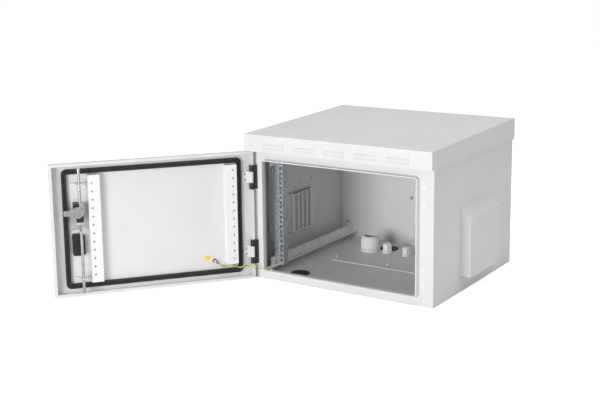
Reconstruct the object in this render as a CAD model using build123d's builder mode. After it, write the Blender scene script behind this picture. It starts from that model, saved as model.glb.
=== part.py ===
"""Outdoor wall-mount equipment cabinet, 19-inch, with rain roof, side hoods and an open door.

Millimetres, +Z up, the door side towards -Y. The origin is the centre of the four wall bolts on the
plane of the wall. Heights are given above the base and depths behind the front frame.
"""
import math
import os

from build123d import *

os.makedirs("parts", exist_ok=True)

# Shell
cabinet_width = 600.0
cabinet_depth = 538.0
cabinet_height = 402.0
sheet = 1.5
shell_bend = 2.5
floor_height = 12.0
rear_recess = 16.5
rim_flange = 15.0
wall_bolt_spacing_x = 550.0
wall_bolt_spacing_z = 269.0
wall_bolt_hole = 9.0
wall_sleeve = 24.0
wall_bolt_height = 61.0
drain_x = cabinet_width / 2 - 37.0
drain_height = 22.0
drain_hole = 3.2
back_screw_x = -35.0
back_screw_height = 170.0
back_screw = 6.0

# Front opening and its raised sealing lip
opening_width = 504.0
opening_bottom = 30.0
opening_top = cabinet_height - 41.0
opening_corner = 6.0
lip_thickness = 3.0
lip_height = 14.0
lip_root = 4.0

# Nuts as width across flats and height
nut_m5 = (8.0, 4.0)
nut_m6 = (10.0, 5.0)
earth_nut = (10.0, 4.0)

# Running and assembly clearances
slip = 0.1
screw_play = 0.3
door_gap = 0.3
pin_play = 0.05

# Rain roof
roof_overhang_side = 6.3
roof_overhang_front = 26.0
roof_front_height = cabinet_height + 38.0
roof_rise = 14.0
roof_skirt_height = cabinet_height - 13.0
roof_post = 12.0
roof_stud = 6.0
roof_stud_length = 10.0
roof_post_front = 40.0
roof_post_rear = 48.0
roof_post_x = cabinet_width / 2 - 38.0
louvre_width = 70.0
louvre_slot = 3.0
louvre_pitch = 101.0
louvre_row_pitch = 10.4
louvre_groups = 5
louvre_rows = 3
louvre_height = roof_front_height - 29.5
louvre_rise = 3.0
louvre_top = 5.0
louvre_sheet = 1.2

# Side ventilation
vent_depth = 257.5
vent_height = 154.0
vent_width = 92.0
vent_length = 100.0
pocket_width = 111.0
pocket_length = 122.0
pocket_rise = 13.0
pocket_flange = 12.0
pocket_sheet = 1.2
pocket_slot_width = 18.5
pocket_slot_height = 3.4
pocket_slot_pitch_y = 24.5
pocket_slot_pitch_z = 6.9
pocket_slot_columns = 4
pocket_slot_rows = 17
pocket_flange_below = 8.0
pocket_flange_above = 6.0
pocket_screw = 4.0
pocket_screw_length = 5.0
pocket_screw_head = 8.0
pocket_screw_rise = 2.6
wall_screw_hole = 4.2
mat_drop = 3.0
vent_drop = 4.0
hood_width = 202.0
hood_offset = 14.5
hood_bottom = 47.8
hood_top = 253.5
hood_reach = 32.5
hood_flange = 6.0
hood_sheet = 1.2
hood_screw_height = 246.0
hood_screw_pitch = 66.5
hood_screw = 3.8
hood_screw_head = 7.6
hood_screw_rise = 2.2
hood_screw_hole = 4.0
hood_tab = 7.0
hood_flange_drop = 12.0
bend_run = 0.4
bend_drop = 1.4

# Rails and 19-inch profiles
rail_sheet = 2.0
rail_foot = 15.0
rail_upstand = 25.0
rail_plane = opening_width / 2 + 5.0
rail_front = 35.0
rail_hole = 5.5
rail_tab = 25.0
rail_tab_edge = 9.0
rail_corner = 8.0
rail_screw_head = 10.0
rail_screw_rise = 3.0
spare_hole_first = 11.0
spare_hole_rear = 90.0
spare_hole_pitch = 75.0
spare_hole_end = 60.0
spare_hole_rise = 3.0
rack_hole_pitch = 465.1
rack_hole = 9.5
rack_unit = 44.45
rack_units = 7
rack_hole_step = 15.875
profile_sheet = 2.0
profile_bolt = 6.0
profile_depth = 54.0
profile_bolt_front = 14.0
profile_bolt_rear = 38.0
profile_bolt_head = 11.0
profile_bolt_rise = 3.3
return_hole = 6.0
return_hole_place = 0.6
return_holes = 19
profile_web = 50.0
profile_return = 23.0
profile_inner = 225.4
strip_depth = 94.0
strip_width = 36.0
strip_rise = 10.0
strip_slot_pitch = 21.5
strip_slot_width = 5.0
strip_slot_height = 12.0
strip_slot_place = 9.0
strip_slots = 17

# Cable entry
plate_left = -167.0
plate_right = 213.0
plate_front = 235.0
plate_rear = cabinet_depth - 58.0
plate_sheet = 2.0
plate_margin = 16.0
plate_stud = 5.0
plate_stud_length = 14.0
plate_stud_edge_x = 13.0
plate_stud_edge_y = 12.0
plate_stud_middle = 24.0
plate_window_margin = 20.0
plate_corner = 6.0
plug_hole = 50.0
plug_rim = 4.0
plug_rise = 2.5
plug_wall = 2.5
plug_depth = 8.0
gland_depth = plate_rear - 90.0
gland_body_foot = 10.5
gland_flange_share = 0.15
gland_seat_share = 0.35
gland_seal_share = 0.66
gland_body_share = 0.62

# Door
door_left = 4.7 - cabinet_width / 2
door_right = cabinet_width / 2 - 5.0
door_bottom = 3.0
door_top = cabinet_height - 14.0
door_sheet = 1.2
door_thickness = 22.0
door_stand_off = 2.1
door_lip = 7.5
door_open_angle = 129.4
hinge_x = -291.2
hinge_y = 12.1
hinge_pin = 6.0
hinge_height = 72.0
hinge_gap = 34.0
hinge_ear_radius = 7.0
hinge_knuckle = 12.0
hinge_heights = (opening_top - 51.8, opening_bottom + 51.8)
gasket_width = 14.0
rail_height_on_door = 20.0
stay_top = opening_top - 9.0
stay_hole_pitch = 24.4
hinge_notch = 3.0
hinge_notch_depth = 1.2
hinge_pin_head = 8.0
hinge_pin_head_height = 1.5
door_corner = 2.0
door_cut_corner = 6.0
gasket_corner = 7.0
gasket_groove = 3.2
gasket_groove_depth = 2.5
stay_hole = 4.8
fork_left = -294.0
fork_right = -278.0
fork_block = 5.1
fork_screw = 5.0
fork_screw_x = -286.0
fork_screw_pitch = 49.2
fork_hole_depth = 7.0
fork_screw_grip = 6.0
fork_screw_head = 9.0
fork_screw_rise = 3.0
leaf_reach = 26.0
leaf_sheet = 3.0
leaf_heel = 1.5
leaf_root = 13.0
leaf_root_rise = 5.0
leaf_hole = 4.4
leaf_hole_edge = 6.5
leaf_hole_rise = 8.0
leaf_head = 7.6
leaf_head_rise = 2.0
plug_x = cabinet_width / 2 - 30.0
cap_head = 8.0
cap_rise = 1.4
cap_grip = 3.0

# Lock
lock_x = 221.5
lock_height = 247.9
rod_x = 214.5
rod_diameter = 8.5
rod_depth = 11.5
rod_end = door_top - 11.0
rod_foot = 13.4
cam_depth = 4.0
cam_thickness = 3.0
cam_pin_offset = 9.2
cam_pin = 4.8
cam_reach = 261.0
flat_thickness = 2.0
spindle = 16.0
spindle_square = 8.0
box_left = 205.0
box_right = 232.0
box_bottom = 219.0
box_top = 274.0
box_depth = 3.5
box_corner = 3.0
spindle_cut = 4.0
spindle_end = 0.2
spindle_tip = 1.0
cam_rim = 1.6
cam_arm = 16.0
cam_corner = 3.0
cam_pin_end = 1.5
rod_chamfer = 1.5
flat_corner = 2.0
flat_overlap = 8.0
flat_inner = 4.6
slot_play_long = 1.2
slot_play = 1.1
guide_half = 23.0
guide_inner = 9.0
guide_foot = 9.0
guide_rise = 5.0
guide_shoulder = 8.0
guide_top = 7.5
guide_heights = (330.0, 55.7)

# Outside handle
base_width = 31.0
base_bottom = 112.0
base_top = 286.0
base_thickness = 6.0
boss_left = 202.5
boss_right = 238.5
boss_bottom = 118.0
boss_top = 182.0
boss_depth = -12.9
key_height = 134.0
key_diameter = 17.0
key_depth = -16.0
handle_width = 26.0
handle_axis = -40.2
handle_head = 9.6
handle_pin = 5.0
handle_end = 150.0
clevis = 14.0
clevis_gap = 1.0
clevis_round = 1.5
clevis_flat = 2.6
base_corner = 12.0
base_chamfer = 1.5
boss_corner = 8.0
key_rise = 0.5
key_slot_width = 1.6
key_slot_height = 8.0
key_slot_depth = 3.0
handle_heel = 24.0
handle_lip = 3.0
handle_taper = 10.0

# Earth terminals and lead
door_stud_x = -175.0
door_stud_height = 62.0
body_stud_x = -219.0
body_stud_height = 20.0
earth_stud = 6.0
door_stud_length = 13.0
body_stud_length = 12.0
mark_x = -154.0
mark_height = 72.0
mark_width = 16.0
mark_thickness = 0.3
lug_ring = 12.0
lug_neck = 5.0
lug_neck_reach = 5.0
lug_neck_length = 10.0
lug_sleeve = 7.0
lug_sleeve_wall = 1.1
door_lug_angle = -42.0
body_lug_angle = 33.0
lug_sheet = 1.2
lug_length = 13.7
lead_diameter = 3.0

front = -cabinet_depth
base = -(wall_bolt_height + wall_bolt_spacing_z / 2)
half_width = cabinet_width / 2
inner_half = half_width - sheet
wall_inner = cabinet_depth - rear_recess - sheet
opening_half = opening_width / 2
lip_half = opening_half + lip_thickness
skin_front = -(door_stand_off + door_thickness)
skin_back = skin_front + door_sheet
base_front = skin_front - base_thickness
hinge_axis = Axis((hinge_x, front - hinge_y, 0), (0, 0, 1))


def up(height):
    """Z of a height above the base."""
    return base + height


def back(depth):
    """Y of a depth behind the front frame."""
    return front + depth


def level(height):
    """Horizontal plane at a height, seen from above."""
    return Plane.XY.offset(up(height))


def facing(depth):
    """Upright plane at a depth, seen from the front; it extrudes forwards."""
    return Plane.XZ.offset(-back(depth))


def across(x):
    """Upright plane at an X, seen from the right; it extrudes to the right."""
    return Plane.YZ.offset(x)


def area(first, second, radius=0.0, mode=Mode.ADD):
    """Rectangle between two pairs of limits of the sketch."""
    width = abs(first[1] - first[0])
    height = abs(second[1] - second[0])
    with Locations(((first[0] + first[1]) / 2, (second[0] + second[1]) / 2)):
        if radius > 0:
            RectangleRounded(width, height, radius, mode=mode)
        else:
            Rectangle(width, height, mode=mode)


def outline(*points):
    """Closed outline through the points, as a face."""
    Polygon(*points, align=None)


def save(piece, name):
    """Label a piece and write it as its own file."""
    piece.part.label = name
    export_step(piece.part, f"parts/{name}.step")


def swing(piece):
    """Turn a door piece from closed to the photographed open place."""
    piece.part = piece.part.rotate(hinge_axis, -door_open_angle)


def bolt(plane, places, shank, length, head, head_height):
    """Round-headed screws: heads stand on the plane, shanks go behind it."""
    with BuildSketch(plane) as heads:
        with Locations(*places):
            Circle(head / 2)
    extrude(heads.sketch, amount=head_height)
    with BuildSketch(plane) as shanks:
        with Locations(*places):
            Circle(shank / 2)
    extrude(shanks.sketch, amount=-length)


def hex_nut(plane, places, flats, height, bore):
    """Hexagon nuts that stand on the plane."""
    with BuildSketch(plane) as nuts:
        with Locations(*places):
            RegularPolygon(flats / 2, 6, major_radius=False)
            Circle(bore / 2, mode=Mode.SUBTRACT)
    extrude(nuts.sketch, amount=height)


# Shared places
wall_bolts = []
for side in (-1, 1):
    for row in (-1, 1):
        wall_bolts.append((side * wall_bolt_spacing_x / 2, row * wall_bolt_spacing_z / 2))
roof_posts = []
for side in (-1, 1):
    for depth in (roof_post_front, cabinet_depth - roof_post_rear):
        roof_posts.append((side * roof_post_x, back(depth)))
hood_screws_at = []
for step in (-1, 0, 1):
    hood_screws_at.append((back(vent_depth + 3 + step * hood_screw_pitch), up(hood_screw_height)))
pocket_screws_at = []
for side in (-1, 1):
    for row in (-1, 1):
        pocket_y = back(vent_depth) + side * (pocket_width + pocket_flange) / 2
        pocket_z = up(vent_height) + row * (pocket_length / 2 + 2)
        pocket_screws_at.append((pocket_y, pocket_z))
stud_x = (plate_left + plate_stud_edge_x, plate_stud_middle, plate_right - plate_stud_edge_x)
studs = []
for x in stud_x:
    for depth in (plate_front + plate_stud_edge_y, plate_rear - plate_stud_edge_y):
        studs.append((x, back(depth)))
plug_places = []
fork_screws_at = []
for height in hinge_heights:
    for row in (-1, 1):
        plug_places.append((plug_x, up(height + row * fork_screw_pitch / 2)))
        fork_screws_at.append((fork_screw_x, up(height + row * fork_screw_pitch / 2)))
rail_bolt_depths = (profile_depth + profile_bolt_front, profile_depth + profile_bolt_rear)
rail_tab_x = rail_plane + rail_sheet + rail_tab - rail_tab_edge
rail_middle = rail_upstand / 2 + 2.0
large_gland = {"x": -116.0, "thread": 50.0, "flange": 62.0, "nut": 58.0, "mouth": 41.0, "height": 48.0}
left_gland = {"x": -54.0, "thread": 20.0, "flange": 31.0, "nut": 27.0, "mouth": 15.5, "height": 32.0}
right_gland = {"x": 14.0, "thread": 18.0, "flange": 28.0, "nut": 24.0, "mouth": 13.0, "height": 29.0}
small_glands = (left_gland, right_gland)
plugs_at = ((-172.0, 62.0), (-70.0, 434.0), (55.0, 431.0))


# Shell: folded and welded box with a recessed floor and back wall, spacer sleeves and a sealing lip
with BuildPart() as housing:
    with BuildSketch(level(0)):
        area((-half_width, half_width), (back(0), back(cabinet_depth)))
    extrude(amount=cabinet_height)
    with BuildSketch(level(floor_height)):
        area((-inner_half, inner_half), (back(sheet), back(wall_inner)))
    extrude(amount=cabinet_height - sheet - floor_height, mode=Mode.SUBTRACT)
    with BuildSketch(level(sheet)):
        area((-inner_half, inner_half), (back(sheet), back(wall_inner)))
    extrude(amount=floor_height - 2 * sheet, mode=Mode.SUBTRACT)
    with BuildSketch(level(0)):
        area((-inner_half + rim_flange, inner_half - rim_flange),
             (back(sheet + rim_flange), back(wall_inner - rim_flange)))
    extrude(amount=sheet, mode=Mode.SUBTRACT)
    with BuildSketch(level(0)):
        area((-inner_half, inner_half), (back(wall_inner + sheet), back(cabinet_depth)))
    extrude(amount=cabinet_height - sheet, mode=Mode.SUBTRACT)
    with BuildSketch(facing(cabinet_depth)):
        with Locations(*wall_bolts):
            Circle(wall_sleeve / 2)
    extrude(amount=rear_recess + sheet / 2)
    with BuildSketch(facing(cabinet_depth)):
        with Locations(*wall_bolts):
            Circle(wall_bolt_hole / 2)
    extrude(amount=rear_recess + sheet * 2, mode=Mode.SUBTRACT)
    # Front opening with its lip folded forwards
    with BuildSketch(facing(0)):
        area((-lip_half, lip_half), (up(opening_bottom - lip_thickness), up(opening_top + lip_thickness)),
             opening_corner + lip_thickness)
    extrude(amount=lip_height)
    root_edges = []
    for edge in housing.edges().filter_by_position(Axis.Y, front - 0.01, front + 0.01):
        middle = edge.center()
        if abs(middle.X) < half_width - 10 and up(10) < middle.Z < up(cabinet_height - 10):
            root_edges.append(edge)
    fillet(root_edges, radius=lip_root)
    with BuildSketch(facing(sheet)):
        area((-opening_half, opening_half), (up(opening_bottom), up(opening_top)), opening_corner)
    extrude(amount=lip_height + sheet, mode=Mode.SUBTRACT)
    # Bent front corners
    corner_edges = []
    for edge in housing.edges().filter_by(Axis.Z).filter_by_position(Axis.Y, front - 0.01, front + 0.01):
        if abs(edge.center().X) > half_width - 1:
            corner_edges.append(edge)
    fillet(corner_edges, radius=shell_bend)
    # Ventilation windows, hood and pocket screw holes in both side walls
    with BuildSketch(across(-half_width)):
        with Locations((back(vent_depth), up(vent_height - vent_drop))):
            Rectangle(vent_width, vent_length)
        with Locations(*hood_screws_at, *pocket_screws_at):
            Circle(wall_screw_hole / 2)
    extrude(amount=cabinet_width, mode=Mode.SUBTRACT)
    # Roof stud holes
    with BuildSketch(level(cabinet_height)):
        with Locations(*roof_posts):
            Circle(roof_stud / 2 + screw_play)
    extrude(amount=-2 * sheet, mode=Mode.SUBTRACT)
    # Floor opening under the gland plate, the plug hole and the drain hole
    with BuildSketch(level(floor_height)):
        area((plate_left + plate_margin, plate_right - plate_margin),
             (back(plate_front + plate_window_margin), back(plate_rear - plate_window_margin)),
             plate_corner)
        with Locations((plugs_at[0][0], back(plugs_at[0][1]))):
            Circle(plug_hole / 2)
    extrude(amount=-sheet - 1, mode=Mode.SUBTRACT)
    with BuildSketch(facing(sheet)):
        with Locations((drain_x, up(drain_height))):
            Circle(drain_hole / 2)
        with Locations(*plug_places, *fork_screws_at):
            Circle(fork_screw / 2 + slip)
    extrude(amount=2 * sheet, mode=Mode.SUBTRACT)
    # Rail and back wall screw holes
    with BuildSketch(facing(wall_inner + sheet)):
        for side in (-1, 1):
            with Locations((side * rail_tab_x, up(opening_bottom + rail_middle)),
                           (side * rail_tab_x, up(opening_top - rail_middle))):
                Circle(rail_hole / 2 + screw_play)
        with Locations((back_screw_x, up(back_screw_height))):
            Circle(back_screw / 2 + screw_play)
    extrude(amount=2 * sheet, mode=Mode.SUBTRACT)
    # Welded studs of the gland plate
    with BuildSketch(level(floor_height - sheet / 2)):
        with Locations(*studs):
            Circle(plate_stud / 2)
    extrude(amount=plate_stud_length + sheet / 2)
    # Welded earth stud behind the front frame
    with BuildSketch(facing(sheet + body_stud_length)):
        with Locations((body_stud_x, up(body_stud_height))):
            Circle(earth_stud / 2)
    extrude(amount=body_stud_length + sheet / 2)
save(housing, "housing")


# Rain roof: folded sheet with a sloping top, louvred front skirt and welded posts
with BuildPart() as rain_roof:
    roof_half = half_width + roof_overhang_side
    with BuildSketch(across(-roof_half)):
        outline((back(-roof_overhang_front), up(roof_skirt_height)),
                (back(-roof_overhang_front), up(roof_front_height)),
                (back(cabinet_depth), up(roof_front_height + roof_rise)),
                (back(cabinet_depth), up(roof_skirt_height)))
    extrude(amount=2 * roof_half)
    with BuildSketch(across(-roof_half + sheet)):
        outline((back(sheet - roof_overhang_front), up(roof_skirt_height)),
                (back(sheet - roof_overhang_front), up(roof_front_height - sheet)),
                (back(cabinet_depth - sheet), up(roof_front_height + roof_rise - sheet)),
                (back(cabinet_depth - sheet), up(roof_skirt_height)))
    extrude(amount=2 * (roof_half - sheet), mode=Mode.SUBTRACT)
    with BuildSketch(level(roof_skirt_height)):
        area((-roof_half + sheet, roof_half - sheet), (back(cabinet_depth - 2 * sheet), back(cabinet_depth)))
    extrude(amount=cabinet_height + 1 - roof_skirt_height, mode=Mode.SUBTRACT)
    # Each louvre is a slot under a pressed hood that is open below and closed at both ends
    with BuildSketch(facing(0)):
        with Locations((0, up(louvre_height))):
            with GridLocations(louvre_pitch, louvre_row_pitch, louvre_groups, louvre_rows):
                Rectangle(louvre_width - 2 * louvre_sheet, louvre_slot)
    extrude(amount=roof_overhang_front, mode=Mode.SUBTRACT)
    skirt = back(-roof_overhang_front)
    for group in range(louvre_groups):
        left = (group - (louvre_groups - 1) / 2) * louvre_pitch - louvre_width / 2
        for row in range(louvre_rows):
            height = louvre_height + (row - (louvre_rows - 1) / 2) * louvre_row_pitch
            sill = height - louvre_slot / 2
            with BuildSketch(across(left)):
                outline((skirt + sheet / 2, up(height + louvre_top)), (skirt, up(height + louvre_top)),
                        (skirt - louvre_rise, up(sill)), (skirt - louvre_rise + louvre_sheet, up(sill)),
                        (skirt, up(height + louvre_slot / 2)),
                        (skirt + sheet / 2, up(height + louvre_slot / 2)))
            extrude(amount=louvre_width)
            for end in (left, left + louvre_width - louvre_sheet):
                with BuildSketch(across(end)):
                    outline((skirt + sheet / 2, up(height + louvre_top)), (skirt, up(height + louvre_top)),
                            (skirt - louvre_rise, up(sill)), (skirt + sheet / 2, up(sill)))
                extrude(amount=louvre_sheet)
    for x, y in roof_posts:
        post_top = roof_front_height + roof_rise * (y - back(-roof_overhang_front)) / (
            cabinet_depth + roof_overhang_front)
        with BuildSketch(level(cabinet_height)):
            with Locations((x, y)):
                Circle(roof_post / 2)
        extrude(amount=post_top - sheet / 2 - cabinet_height)
        with BuildSketch(level(cabinet_height)):
            with Locations((x, y)):
                Circle(roof_stud / 2)
        extrude(amount=-roof_stud_length)
save(rain_roof, "rain_roof")

with BuildPart() as roof_nuts:
    hex_nut(level(cabinet_height - sheet - nut_m6[1]), roof_posts, *nut_m6, roof_stud + slip)
save(roof_nuts, "roof_nuts")


# Small white caps in the hinge bolt holes that this hand of door leaves free
with BuildPart() as frame_plugs:
    bolt(facing(0), plug_places, fork_screw, sheet + cap_grip, cap_head, cap_rise)
save(frame_plugs, "frame_plugs")


# Ventilation on both side walls
for side, name in ((-1, "left"), (1, "right")):
    wall = side * half_width
    inner = side * inner_half
    hood_centre = vent_depth + hood_offset
    y_front = back(hood_centre - hood_width / 2)
    y_rear = back(hood_centre + hood_width / 2)

    # Rain hood: folded sheet, open below, with a sloping top and narrow flanges on the wall
    with BuildPart() as hood:
        with BuildSketch(Plane.XZ.offset(-y_rear)):
            outline((wall, up(hood_bottom)), (wall + side * hood_reach, up(hood_bottom)),
                    (wall + side * hood_reach, up(hood_top - hood_reach)), (wall, up(hood_top)))
        extrude(amount=hood_width)
        with BuildSketch(Plane.XZ.offset(-y_rear + hood_sheet)):
            outline((wall, up(hood_bottom)),
                    (wall + side * (hood_reach - hood_sheet), up(hood_bottom)),
                    (wall + side * (hood_reach - hood_sheet),
                     up(hood_top - hood_reach - hood_sheet * bend_run)),
                    (wall, up(hood_top - hood_sheet * bend_drop)))
        extrude(amount=hood_width - 2 * hood_sheet, mode=Mode.SUBTRACT)
        with BuildSketch(across(wall)):
            flange_heights = (up(hood_bottom), up(hood_top - hood_flange_drop))
            area((y_front - hood_flange, y_front + hood_sheet), flange_heights)
            area((y_rear - hood_sheet, y_rear + hood_flange), flange_heights)
            area((y_front, y_rear), (up(hood_screw_height - hood_tab), up(hood_top - hood_sheet)))
        extrude(amount=side * hood_sheet)
        with BuildSketch(across(wall)):
            with Locations(*hood_screws_at):
                Circle(hood_screw_hole / 2)
        extrude(amount=side * hood_sheet, mode=Mode.SUBTRACT)
    save(hood, f"{name}_rain_hood")

    # Filter pocket: slotted tray with side flanges on the inside of the wall, open at the top
    with BuildPart() as pocket:
        face_x = side * (inner_half - pocket_rise)
        y0 = back(vent_depth - pocket_width / 2)
        y1 = back(vent_depth + pocket_width / 2)
        z0 = up(vent_height - pocket_length / 2)
        z1 = up(vent_height + pocket_length / 2)
        with BuildSketch(Plane.XY.offset(z0)):
            area((inner, face_x), (y0, y1))
        extrude(amount=z1 - z0)
        with BuildSketch(Plane.XY.offset(z0 + pocket_sheet)):
            area((inner, face_x + side * pocket_sheet), (y0 + pocket_sheet, y1 - pocket_sheet))
        extrude(amount=z1 - z0, mode=Mode.SUBTRACT)
        with BuildSketch(across(inner)):
            flange_heights = (z0 - pocket_flange_below, z1 + pocket_flange_above)
            area((y0 - pocket_flange, y0 + pocket_sheet), flange_heights)
            area((y1 - pocket_sheet, y1 + pocket_flange), flange_heights)
            with Locations(*pocket_screws_at):
                Circle(wall_screw_hole / 2, mode=Mode.SUBTRACT)
        extrude(amount=-side * pocket_sheet)
        with BuildSketch(across(face_x)):
            with Locations((back(vent_depth), up(vent_height))):
                with GridLocations(pocket_slot_pitch_y, pocket_slot_pitch_z,
                                   pocket_slot_columns, pocket_slot_rows):
                    Rectangle(pocket_slot_width, pocket_slot_height)
        extrude(amount=side * pocket_sheet, mode=Mode.SUBTRACT)
    save(pocket, f"{name}_filter_pocket")

    # Filter mat that fills the pocket
    with BuildPart() as mat:
        with BuildSketch(across(inner)):
            area((y0 + pocket_sheet + screw_play, y1 - pocket_sheet - screw_play),
                 (z0 + pocket_sheet, z1 - mat_drop))
        extrude(amount=-side * (pocket_rise - pocket_sheet - screw_play))
    save(mat, f"{name}_filter_mat")

with BuildPart() as pocket_screws:
    for side in (-1, 1):
        plane = Plane((side * (inner_half - pocket_sheet), 0, 0), x_dir=(0, 1, 0), z_dir=(-side, 0, 0))
        places = []
        for y, z in pocket_screws_at:
            places.append((y, -side * z))
        bolt(plane, places, pocket_screw, pocket_screw_length, pocket_screw_head, pocket_screw_rise)
save(pocket_screws, "pocket_screws")

with BuildPart() as hood_screws:
    for side in (-1, 1):
        plane = Plane((side * inner_half, 0, 0), x_dir=(0, 1, 0), z_dir=(-side, 0, 0))
        places = []
        for y, z in hood_screws_at:
            places.append((y, -side * z))
        bolt(plane, places, hood_screw, sheet + hood_sheet + 2.5, hood_screw_head, hood_screw_rise)
save(hood_screws, "hood_screws")


def rail_holes():
    """Depths of the spare holes along a rail's upstand."""
    depths = [rail_front + spare_hole_first]
    depth = profile_depth + spare_hole_rear
    while depth < wall_inner - spare_hole_end:
        depths.append(depth)
        depth += spare_hole_pitch
    return depths


# Horizontal rails: folded angle with a foot towards the middle and a tab on the back wall
for side, side_name in ((-1, "left"), (1, "right")):
    for grow, level_name in ((1, "lower"), (-1, "upper")):
        edge = opening_bottom if grow > 0 else opening_top
        upright = side * rail_plane
        outer = side * (rail_plane + rail_sheet)
        toe = side * (rail_plane - rail_foot)
        with BuildPart() as rail:
            with BuildSketch(across(upright)) as upstand:
                area((back(rail_front), back(wall_inner)), (up(edge), up(edge + grow * rail_upstand)))
                front_corners = upstand.vertices().group_by(Axis.Y)[0]
                fillet(front_corners.sort_by(Axis.Z)[-1 if grow > 0 else 0], radius=rail_corner)
            extrude(amount=side * rail_sheet)
            with BuildSketch(level(edge)):
                area((toe, outer), (back(sheet), back(wall_inner)))
            extrude(amount=grow * rail_sheet)
            with BuildSketch(facing(wall_inner)):
                area((upright, side * (rail_plane + rail_sheet + rail_tab)),
                     (up(edge), up(edge + grow * rail_upstand)))
            extrude(amount=rail_sheet)
            with BuildSketch(facing(wall_inner)):
                with Locations((side * rail_tab_x, up(edge + grow * rail_middle))):
                    Circle(rail_hole / 2 + screw_play)
            extrude(amount=rail_sheet, mode=Mode.SUBTRACT)
            with BuildSketch(across(upright)):
                for depth in rail_holes():
                    with Locations((back(depth), up(edge + grow * (rail_middle + spare_hole_rise)))):
                        Circle(rail_hole / 2)
                for depth in rail_bolt_depths:
                    with Locations((back(depth), up(edge + grow * rail_middle))):
                        Circle(profile_bolt / 2 + screw_play)
            extrude(amount=side * rail_sheet, mode=Mode.SUBTRACT)
        save(rail, f"{level_name}_{side_name}_rail")

rail_heights = (opening_bottom + rail_middle, opening_top - rail_middle)
with BuildPart() as rail_screws:
    tab_places = []
    for side in (-1, 1):
        for height in rail_heights:
            tab_places.append((side * rail_tab_x, up(height)))
    bolt(facing(wall_inner - rail_sheet), tab_places, rail_hole, rail_sheet + 2 * sheet + 3,
         rail_screw_head, rail_screw_rise)
    hex_nut(facing(wall_inner + sheet + nut_m5[1]), tab_places, *nut_m5, rail_hole)
save(rail_screws, "rail_screws")


# 19-inch profiles: front flange with square holes, inner return, and a web bolted to the rails
profile_bottom = opening_bottom + rail_sheet
profile_top = opening_top - rail_sheet
rack_middle = (opening_bottom + opening_top) / 2
for side, name in ((-1, "left"), (1, "right")):
    with BuildPart() as profile:
        web_in = side * (rail_plane - profile_sheet)
        with BuildSketch(level(profile_bottom)):
            area((side * profile_inner, side * rail_plane), (back(profile_depth),
                                                           back(profile_depth + profile_sheet)))
            area((side * profile_inner, side * (profile_inner + profile_sheet)),
                 (back(profile_depth), back(profile_depth + profile_return)))
            area((web_in, side * rail_plane), (back(profile_depth), back(profile_depth + profile_web)))
        extrude(amount=profile_top - profile_bottom)
        with BuildSketch(facing(profile_depth + profile_sheet)):
            for unit in range(rack_units):
                for step in (-1, 0, 1):
                    height = rack_middle + (unit - (rack_units - 1) / 2) * rack_unit + step * rack_hole_step
                    with Locations((side * rack_hole_pitch / 2, up(height))):
                        Rectangle(rack_hole, rack_hole)
        extrude(amount=profile_sheet, mode=Mode.SUBTRACT)
        with BuildSketch(across(side * profile_inner)):
            with Locations((back(profile_depth + profile_return * return_hole_place), up(rack_middle))):
                with GridLocations(1, rack_hole_step, 1, return_holes):
                    Rectangle(return_hole, return_hole)
        extrude(amount=side * profile_sheet, mode=Mode.SUBTRACT)
        with BuildSketch(across(web_in)):
            for depth in rail_bolt_depths:
                for height in rail_heights:
                    with Locations((back(depth), up(height))):
                        Circle(profile_bolt / 2 + screw_play)
        extrude(amount=side * profile_sheet, mode=Mode.SUBTRACT)
    save(profile, f"{name}_rack_profile")

with BuildPart() as profile_bolts:
    for side in (-1, 1):
        inboard = side * (rail_plane - profile_sheet)
        outboard = side * (rail_plane + rail_sheet)
        plane = Plane((inboard, 0, 0), x_dir=(0, 1, 0), z_dir=(-side, 0, 0))
        nut_plane = Plane((outboard, 0, 0), x_dir=(0, 1, 0), z_dir=(side, 0, 0))
        places = []
        nut_places = []
        for depth in rail_bolt_depths:
            for height in rail_heights:
                places.append((back(depth), -side * up(height)))
                nut_places.append((back(depth), side * up(height)))
        bolt(plane, places, profile_bolt, profile_sheet + rail_sheet + 7.0, profile_bolt_head,
             profile_bolt_rise)
        hex_nut(nut_plane, nut_places, *nut_m6, profile_bolt)
save(profile_bolts, "profile_bolts")


# Slotted strips welded to the side walls behind the profiles
for side, name in ((-1, "left"), (1, "right")):
    with BuildPart() as strip:
        strip_face = side * (inner_half - strip_rise)
        strip_foot = floor_height
        strip_top = cabinet_height - sheet
        with BuildSketch(level(strip_foot)):
            area((side * inner_half, strip_face),
                 (back(strip_depth - strip_width / 2), back(strip_depth + strip_width / 2)))
            area((side * inner_half, strip_face + side * sheet),
                 (back(strip_depth - strip_width / 2 + sheet), back(strip_depth + strip_width / 2 - sheet)),
                 mode=Mode.SUBTRACT)
        extrude(amount=strip_top - strip_foot)
        with BuildSketch(across(strip_face)):
            with Locations((back(strip_depth - strip_slot_place), up((strip_foot + strip_top) / 2))):
                with GridLocations(1, strip_slot_pitch, 1, strip_slots):
                    Rectangle(strip_slot_width, strip_slot_height)
        extrude(amount=side * sheet, mode=Mode.SUBTRACT)
    save(strip, f"{name}_wall_strip")

with BuildPart() as back_wall_screw:
    screw_at = [(back_screw_x, up(back_screw_height))]
    bolt(facing(wall_inner), screw_at, back_screw, sheet + 7.0, 12.0, 3.5)
    hex_nut(facing(wall_inner + sheet + nut_m6[1]), screw_at, *nut_m6, back_screw)
save(back_wall_screw, "back_wall_screw")


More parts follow.
